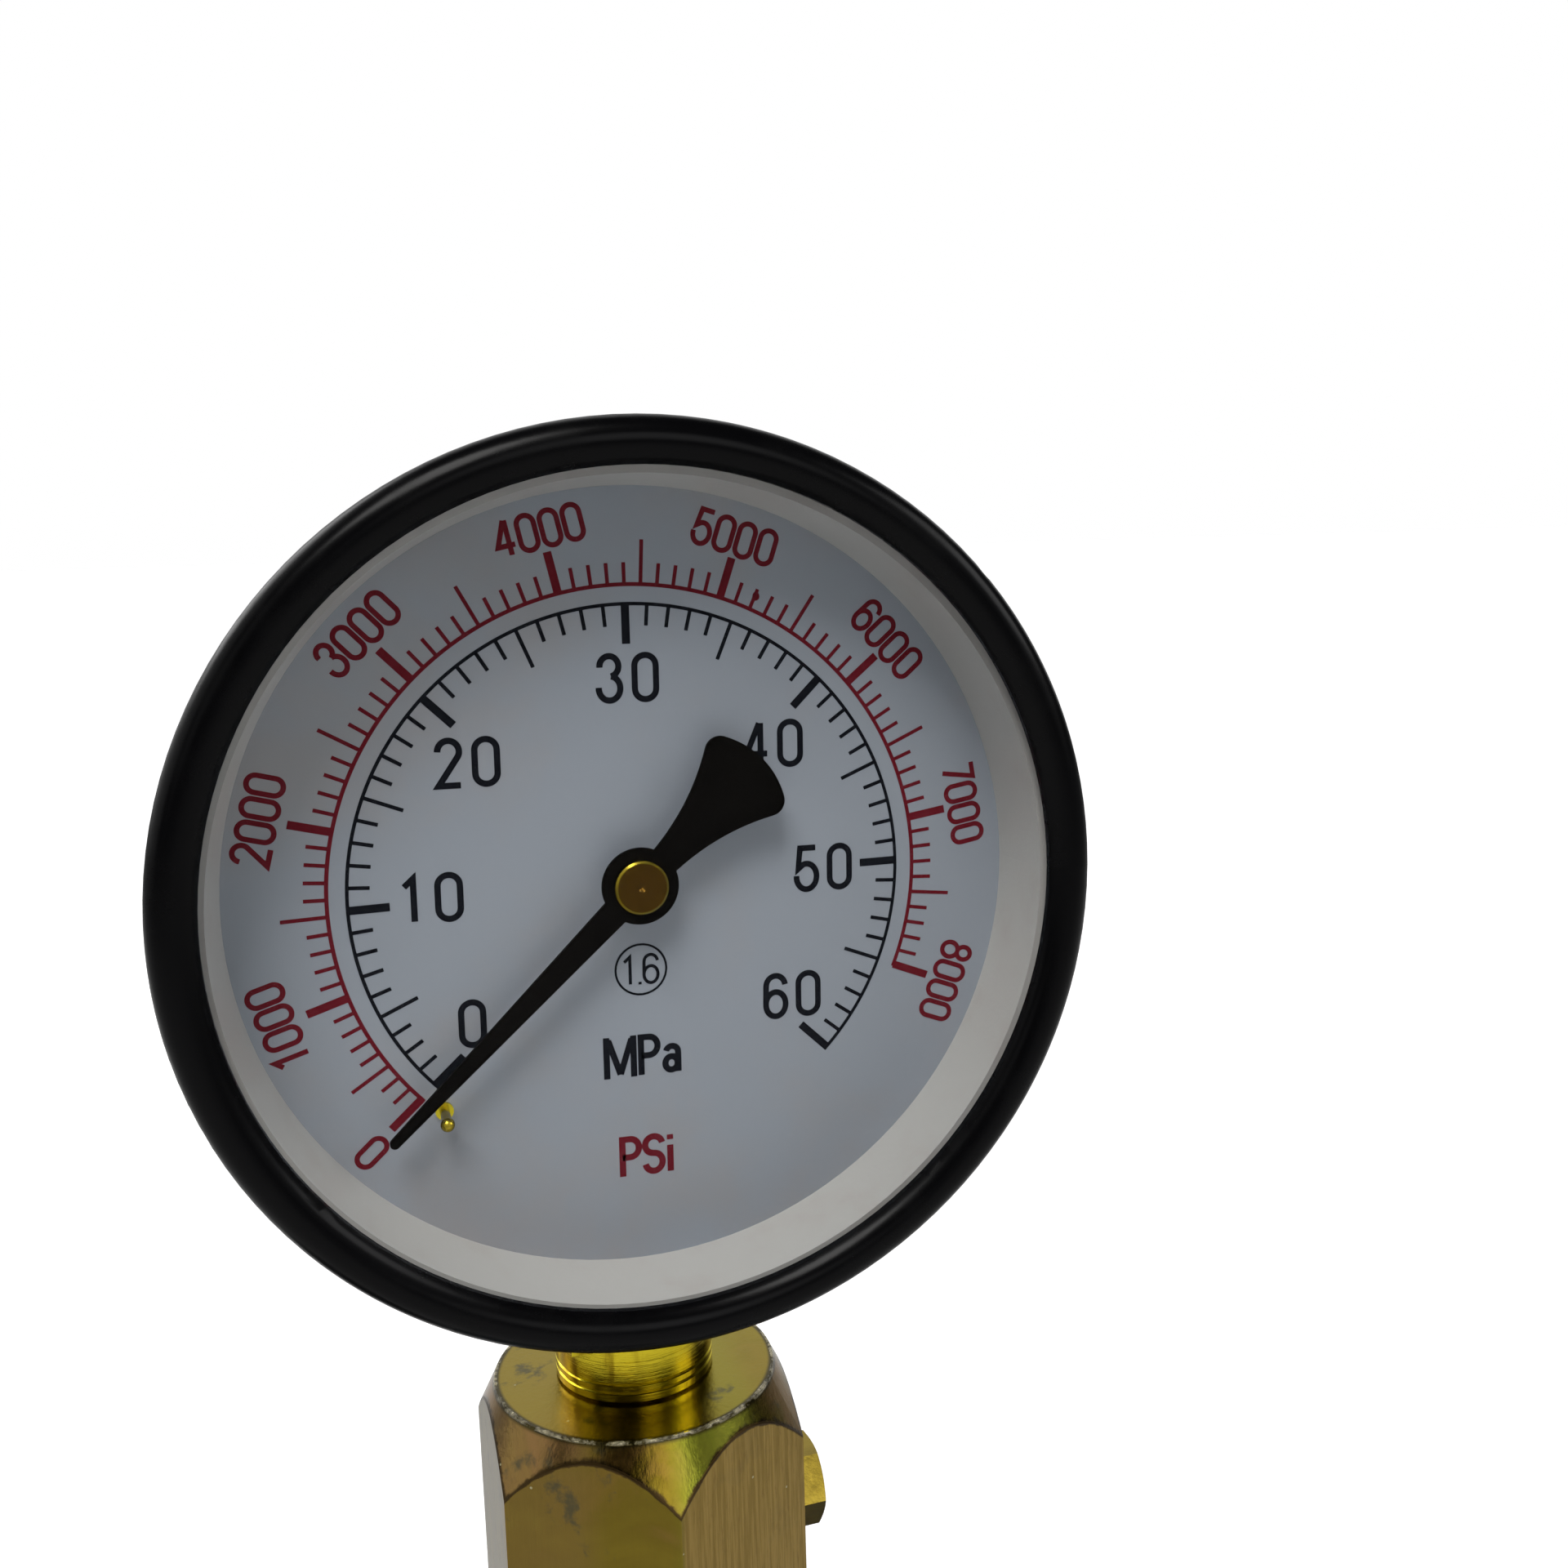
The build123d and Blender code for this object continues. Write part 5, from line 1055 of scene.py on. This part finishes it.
def mark_tree():
    """Geometry nodes: straight marks set out along the slightly bowed scale."""
    tree = bpy.data.node_groups.new("dial_marks", "GeometryNodeTree")
    interface = tree.interface
    interface.new_socket("Geometry", in_out="INPUT", socket_type="NodeSocketGeometry")
    interface.new_socket("Geometry", in_out="OUTPUT", socket_type="NodeSocketGeometry")
    sockets = (
        ("Count", "NodeSocketInt"),
        ("Skip every", "NodeSocketInt"),
        ("Skip shift", "NodeSocketInt"),
        ("Start", "NodeSocketFloat"),
        ("Step", "NodeSocketFloat"),
        ("Zero", "NodeSocketFloat"),
        ("Sweep", "NodeSocketFloat"),
        ("Bow", "NodeSocketFloat"),
        ("Radius", "NodeSocketFloat"),
        ("Length", "NodeSocketFloat"),
        ("Width", "NodeSocketFloat"),
        ("Thickness", "NodeSocketFloat"),
        ("Middle", "NodeSocketVector"),
        ("Ink", "NodeSocketMaterial"),
    )
    for label, kind in sockets:
        interface.new_socket(label, in_out="INPUT", socket_type=kind)
    add = tree.nodes.new
    wire = tree.links.new
    into = add("NodeGroupInput").outputs
    out = add("NodeGroupOutput").inputs

    def worked(operation, a, b=None):
        """A Math node; its inputs are numbers or outputs."""
        node = add("ShaderNodeMath")
        node.operation = operation
        for socket, value in zip(node.inputs, (a, b)):
            if isinstance(value, bpy.types.NodeSocket):
                wire(value, socket)
            elif value is not None:
                socket.default_value = value
        return node.outputs["Value"]

    # the angle of each mark, drawn back a little in the middle of the scale
    index = add("GeometryNodeInputIndex").outputs["Index"]
    even = worked("SUBTRACT", into["Start"], worked("MULTIPLY", index, into["Step"]))
    share = worked("DIVIDE", worked("SUBTRACT", into["Zero"], even), into["Sweep"])
    bow = worked("MULTIPLY", worked("SINE", worked("MULTIPLY", share, pi)), into["Bow"])
    angle = worked("SUBTRACT", even, bow)
    spot = add("ShaderNodeCombineXYZ")
    wire(worked("MULTIPLY", worked("COSINE", angle), into["Radius"]), spot.inputs["X"])
    wire(worked("MULTIPLY", worked("SINE", angle), into["Radius"]), spot.inputs["Z"])
    placed = add("ShaderNodeVectorMath")
    wire(spot.outputs["Vector"], placed.inputs[0])
    wire(into["Middle"], placed.inputs[1])

    # one point a mark, moved to its place
    row = add("GeometryNodeMeshLine")
    wire(into["Count"], row.inputs["Count"])
    ring = add("GeometryNodeSetPosition")
    wire(row.outputs["Mesh"], ring.inputs["Geometry"])
    wire(placed.outputs["Vector"], ring.inputs["Position"])

    # a thin bar on every point that isn't skipped
    size = add("ShaderNodeCombineXYZ")
    for label, axis in (("Length", "X"), ("Thickness", "Y"), ("Width", "Z")):
        wire(into[label], size.inputs[axis])
    bar = add("GeometryNodeMeshCube")
    wire(size.outputs["Vector"], bar.inputs["Size"])
    turn = add("ShaderNodeCombineXYZ")
    wire(worked("MULTIPLY", angle, -1.0), turn.inputs["Y"])
    beat = worked("MODULO", worked("ADD", index, into["Skip shift"]), into["Skip every"])
    shown = worked("GREATER_THAN", beat, 0.5)
    bars = add("GeometryNodeInstanceOnPoints")
    wire(ring.outputs["Geometry"], bars.inputs["Points"])
    wire(shown, bars.inputs["Selection"])
    wire(bar.outputs["Mesh"], bars.inputs["Instance"])
    wire(turn.outputs["Vector"], bars.inputs["Rotation"])
    real = add("GeometryNodeRealizeInstances")
    wire(bars.outputs["Instances"], real.inputs["Geometry"])
    inked = add("GeometryNodeSetMaterial")
    wire(real.outputs["Geometry"], inked.inputs["Geometry"])
    wire(into["Ink"], inked.inputs["Material"])
    wire(inked.outputs["Geometry"], out["Geometry"])
    return tree


def grown_mesh(name, tree, values):
    """Run a geometry tree with named values and return the plain mesh."""
    holder = bpy.data.objects.new(name, bpy.data.meshes.new(name + "_seed"))
    bpy.context.scene.collection.objects.link(holder)
    modifier = holder.modifiers.new("grow", "NODES")
    modifier.node_group = tree
    sockets = {item.name: item.identifier for item in tree.interface.items_tree if item.in_out == "INPUT"}
    for label, value in values.items():
        modifier[sockets[label]] = value
    bpy.context.view_layer.update()
    graph = bpy.context.evaluated_depsgraph_get()
    mesh = bpy.data.meshes.new_from_object(holder.evaluated_get(graph))
    bpy.data.objects.remove(holder)
    mesh.name = name
    return mesh


# more than the marks of any row, so that none is left out
NO_SKIP = 1000


def marks(tree, ink, name, count, start, step, arc_r, length, width, skip_every=NO_SKIP, skip_shift=1):
    """One row of marks; a negative length points to the dial's middle."""
    values = {
        "Count": count,
        "Skip every": skip_every,
        "Skip shift": skip_shift,
        "Start": radians(start),
        "Step": radians(step),
        "Zero": radians(ZERO_ANGLE),
        "Sweep": radians(BLACK_STEP * (BLACK_MARKS - 1)),
        "Bow": radians(SCALE_BOW),
        "Radius": (arc_r + length / 2) * MM,
        "Length": abs(length) * MM,
        "Width": width * MM,
        "Thickness": INK_T * MM,
        "Middle": on_dial(PRINT_X, PRINT_Z, INK_LIFT + INK_T / 2),
        "Ink": ink,
    }
    mesh = grown_mesh(name, tree, values)
    return hang(name, mesh, ink, "tester")


def print_black_marks(tree, ink):
    """Marks of the black scale: zero, tens, fives and ones."""
    zero, step = ZERO_ANGLE, BLACK_STEP
    tens = (BLACK_MARKS - BLACK_FIRST_TEN + 9) // 10
    first_ten = zero - BLACK_FIRST_TEN * step
    first_five = zero - BLACK_FIRST_FIVE * step
    marks(tree, ink, "black_zero", 1, zero, step, BLACK_R, -MAJOR_L, MAJOR_W)
    marks(tree, ink, "black_tens", tens, first_ten, 10 * step, BLACK_R, -MAJOR_L, MAJOR_W)
    marks(tree, ink, "black_fives", BLACK_FIVES, first_five, 10 * step, BLACK_R, -MEDIUM_L, MEDIUM_W)
    ones = BLACK_MARKS - 1
    skips = {"skip_every": 5, "skip_shift": 2}
    marks(tree, ink, "black_ones", ones, zero - step, step, BLACK_R, -MINOR_L, MINOR_W, **skips)


def print_red_marks(tree, ink):
    """Marks of the red scale: a shorter first stretch, then even thousands."""
    first = RED_FIRST_SWEEP / RED_FIRST_MARKS
    small = RED_SWEEP / 10
    zero, thousand = ZERO_ANGLE, ZERO_ANGLE - RED_FIRST_SWEEP
    medium = zero - RED_FIRST_MEDIUM * first
    low, after = RED_FIRST_MEDIUM - 1, RED_FIRST_MEDIUM + 1
    high = RED_FIRST_MARKS - after
    half = thousand - RED_SWEEP / 2
    marks(tree, ink, "red_zero", 1, zero, first, RED_R, MAJOR_L, MAJOR_W)
    marks(tree, ink, "red_first_medium", 1, medium, first, RED_R, RED_MEDIUM_L, MEDIUM_W)
    marks(tree, ink, "red_first_low", low, zero - first, first, RED_R, RED_MINOR_L, MINOR_W)
    marks(tree, ink, "red_first_high", high, zero - after * first, first, RED_R, RED_MINOR_L, MINOR_W)
    marks(tree, ink, "red_thousands", RED_THOUSANDS + 1, thousand, RED_SWEEP, RED_R, MAJOR_L, MAJOR_W)
    marks(tree, ink, "red_halves", RED_THOUSANDS, half, RED_SWEEP, RED_R, RED_MEDIUM_L, MEDIUM_W)
    count = 10 * RED_THOUSANDS - 1
    skips = {"skip_every": 5, "skip_shift": 1}
    marks(tree, ink, "red_hundreds", count, thousand - small, small, RED_R, RED_MINOR_L, MINOR_W, **skips)


def print_dial():
    """Scales, numbers and units of the dial."""
    black = ink_finish("ink_black", (0.003, 0.0035, 0.006), (0.008, 0.009, 0.013))
    red = ink_finish("ink_red", (0.110, 0.006, 0.012), (0.14, 0.02, 0.03))
    tree = mark_tree()
    print_black_marks(tree, black)
    print_red_marks(tree, red)

    dark = Print()
    end = ZERO_ANGLE - (BLACK_MARKS - 1) * BLACK_STEP
    inner = BLACK_R - LINE_BLACK_W / 2
    dark.line(scale_arc(inner, ZERO_ANGLE + LINE_BLACK_PAST, end - LINE_BLACK_PAST), LINE_BLACK_W)
    for text, u, v in NUMBERS:
        dark.word(text, NUMBER_H, NUMBER_STROKE, NUMBER_GAP, (u, v), NUMBER_TURN)
    dark.word("MPa", UNIT_H, UNIT_STROKE, UNIT_GAP, UNIT_PLACE, NUMBER_TURN)
    dark.word("1.6", CLASS_H, CLASS_STROKE, CLASS_GAP, CLASS_PLACE, NUMBER_TURN)
    dark.line(arc_points(*CLASS_PLACE, CLASS_RING_R, CLASS_RING_R, 0, 355), CLASS_RING_W, closed=True)
    dark.piece("black_print", black)
    grain("grain_of_dirt", black, *GRAIN_PLACE, GRAIN_SIZE)

    bright = Print()
    end = ZERO_ANGLE - RED_FIRST_SWEEP - RED_THOUSANDS * RED_SWEEP
    bright.line(scale_arc(RED_R, ZERO_ANGLE + LINE_RED_PAST, end - LINE_RED_PAST), LINE_RED_W)
    for k, angle in enumerate(RED_NUMBER_ANGLES):
        place = polar(RED_NUMBER_R, angle, RED_NUMBER_X, RED_NUMBER_Z)
        number = str(1000 * k)
        bright.word(number, RED_NUMBER_H, RED_NUMBER_STROKE, RED_NUMBER_GAP, place, angle - 90)
    bright.word("PSi", UNIT_H, SECOND_UNIT_STROKE, SECOND_UNIT_GAP, SECOND_UNIT_PLACE, NUMBER_TURN)
    bright.line(arc_points(*BLOT_PLACE, BLOT_R, BLOT_H, 0, 330), BLOT_W, closed=True)
    bright.piece("red_print", red)


# floor: half its width, and the glow that the camera sees near and far
FLOOR_REACH = 30.0
FLOOR_NEAR = 0.35
FLOOR_FAR = 1.3
FLOOR_NEAR_GLOW = 0.42
FLOOR_GLOW = 0.84

# light of the room on everything, and what gloss sees where no pane is
ROOM_LEVEL = 0.22
ROOM_FRONT = 0.05

# bright parts of the room for gloss: direction, outer and inner angle, level
ROOM_PANES = [
    ((0.0, 1.0, 0.0), 66.0, 46.0, 1.0),
    ((0.205, -0.932, 0.30), 18.0, 6.0, 2.6),
    ((0.80, -0.52, 0.30), 28.0, 14.0, 0.55),
    ((-0.742, -0.601, 0.30), 15.0, 7.0, 0.75),
    ((-0.86, 0.40, 0.30), 44.0, 34.0, 1.0),
]


def lay_floor():
    """Plain pale floor that the camera sees white, with its shadows kept."""
    mesh = bpy.data.meshes.new("floor")
    ways = ((-1, -1), (1, -1), (1, 1), (-1, 1))
    corners = [(x * FLOOR_REACH, y * FLOOR_REACH, 0) for x, y in ways]
    mesh.from_pydata(corners, [], [(0, 1, 2, 3)])
    floor = bpy.data.objects.new("floor", mesh)
    bpy.context.scene.collection.objects.link(floor)
    pale, duller = (0.80, 0.80, 0.80), (0.78, 0.78, 0.78)
    finish = Finish("floor_pale", pale, 0.8)
    cloud = finish.use(STAIN, Size=4.0, Clean=(*pale, 1), Stained=(*duller, 1), Amount=0.5)
    finish.feed("Base Color", cloud.outputs["Color"])
    glow = finish.add("ShaderNodeEmission", {"Color": (1, 1, 1, 1)})
    path = finish.add("ShaderNodeLightPath")
    away = finish.add("ShaderNodeVectorMath", operation="LENGTH")
    finish.join(finish.place, away.inputs[0])
    level = finish.spread(away.outputs["Value"], FLOOR_NEAR, FLOOR_FAR, FLOOR_NEAR_GLOW, FLOOR_GLOW)
    lift = finish.maths("MULTIPLY", path.outputs["Is Camera Ray"], level)
    finish.join(lift, glow.inputs["Strength"])
    both = finish.add("ShaderNodeAddShader")
    finish.join(finish.shader.outputs["BSDF"], both.inputs[0])
    finish.join(glow.outputs["Emission"], both.inputs[1])
    finish.join(both.outputs["Shader"], finish.out.inputs["Surface"])
    mesh.materials.append(finish.material)


def light_world():
    """White to the camera, a dim even room, and bright panes for gloss."""
    world = bpy.data.worlds.new("room")
    bpy.context.scene.world = world
    world.use_nodes = True
    tree = world.node_tree
    back = tree.nodes["Background"]
    path = tree.nodes.new("ShaderNodeLightPath")

    def larger(a, b):
        """The larger of two outputs."""
        node = tree.nodes.new("ShaderNodeMath")
        node.operation = "MAXIMUM"
        tree.links.new(a, node.inputs[0])
        tree.links.new(b, node.inputs[1])
        return node.outputs["Value"]

    seen = larger(path.outputs["Is Camera Ray"], path.outputs["Is Transmission Ray"])
    way = tree.nodes.new("ShaderNodeTexCoord").outputs["Generated"]
    lit = None
    for aim, edge, core, level in ROOM_PANES:
        pane = tree.nodes.new("ShaderNodeVectorMath")
        pane.operation = "DOT_PRODUCT"
        tree.links.new(way, pane.inputs[0])
        pane.inputs[1].default_value = Vector(aim).normalized()
        soft = tree.nodes.new("ShaderNodeMapRange")
        soft.interpolation_type = "SMOOTHSTEP"
        node_inputs(soft, {"From Min": cos(radians(edge)), "From Max": cos(radians(core))})
        node_inputs(soft, {"To Min": ROOM_FRONT, "To Max": level})
        tree.links.new(pane.outputs["Value"], soft.inputs["Value"])
        shine = soft.outputs["Result"]
        lit = larger(lit, shine) if lit else shine
    gloss = tree.nodes.new("ShaderNodeMapRange")
    gloss.inputs["To Min"].default_value = ROOM_LEVEL
    tree.links.new(path.outputs["Is Glossy Ray"], gloss.inputs["Value"])
    tree.links.new(lit, gloss.inputs["To Max"])
    white = tree.nodes.new("ShaderNodeMapRange")
    tree.links.new(seen, white.inputs["Value"])
    tree.links.new(gloss.outputs["Result"], white.inputs["To Min"])
    tree.links.new(white.outputs["Result"], back.inputs["Strength"])
    back.inputs["Color"].default_value = (1, 1, 1, 1)


# lamps: name, place, width, power and colour; all are aimed at one point
LAMP_AIM = Vector((0.0, 0.0, 0.20))
LAMPS = [
    ("key", (-0.33, -0.60, 1.24), 0.55, 14.5, (1.0, 0.99, 0.97)),
    ("fill", (0.95, -0.40, 0.75), 0.5, 3.5, (1, 1, 1)),
    ("back", (-0.75, 0.75, 0.95), 0.7, 6.0, (1, 1, 1)),
]


def lamp(name, place, size, power, color):
    """Soft square lamp aimed at the tester."""
    data = bpy.data.lights.new(name, "AREA")
    data.shape = "SQUARE"
    data.size = size
    data.energy = power
    data.color = color
    obj = bpy.data.objects.new(name, data)
    obj.location = place
    obj.rotation_mode = "QUATERNION"
    obj.rotation_quaternion = (LAMP_AIM - Vector(place)).to_track_quat("-Z", "Y")
    bpy.context.scene.collection.objects.link(obj)


def light_studio():
    """Large lamp above left in front, weaker ones right and behind."""
    for values in LAMPS:
        lamp(*values)


def set_camera():
    """Camera at the photograph's place."""
    data = bpy.data.cameras.new("view")
    data.lens = CAMERA_LENS
    data.sensor_width = CAMERA_SENSOR
    data.clip_start = CAMERA_NEAR
    camera = bpy.data.objects.new("view", data)
    right = CAMERA_RIGHT.normalized()
    up = (CAMERA_UP - right * CAMERA_UP.dot(right)).normalized()
    away = right.cross(up)
    turn = Matrix((right, up, away)).transposed()
    camera.matrix_world = Matrix.Translation(CAMERA_PLACE) @ turn.to_4x4()
    bpy.context.scene.collection.objects.link(camera)
    bpy.context.scene.camera = camera


bpy.context.scene.view_settings.view_transform = "Standard"
set_camera()
dress_nodes(build_finishes())
print_dial()
coil_spring("plunger_spring")
coil_spring("delivery_spring")
lay_floor()
light_world()
light_studio()
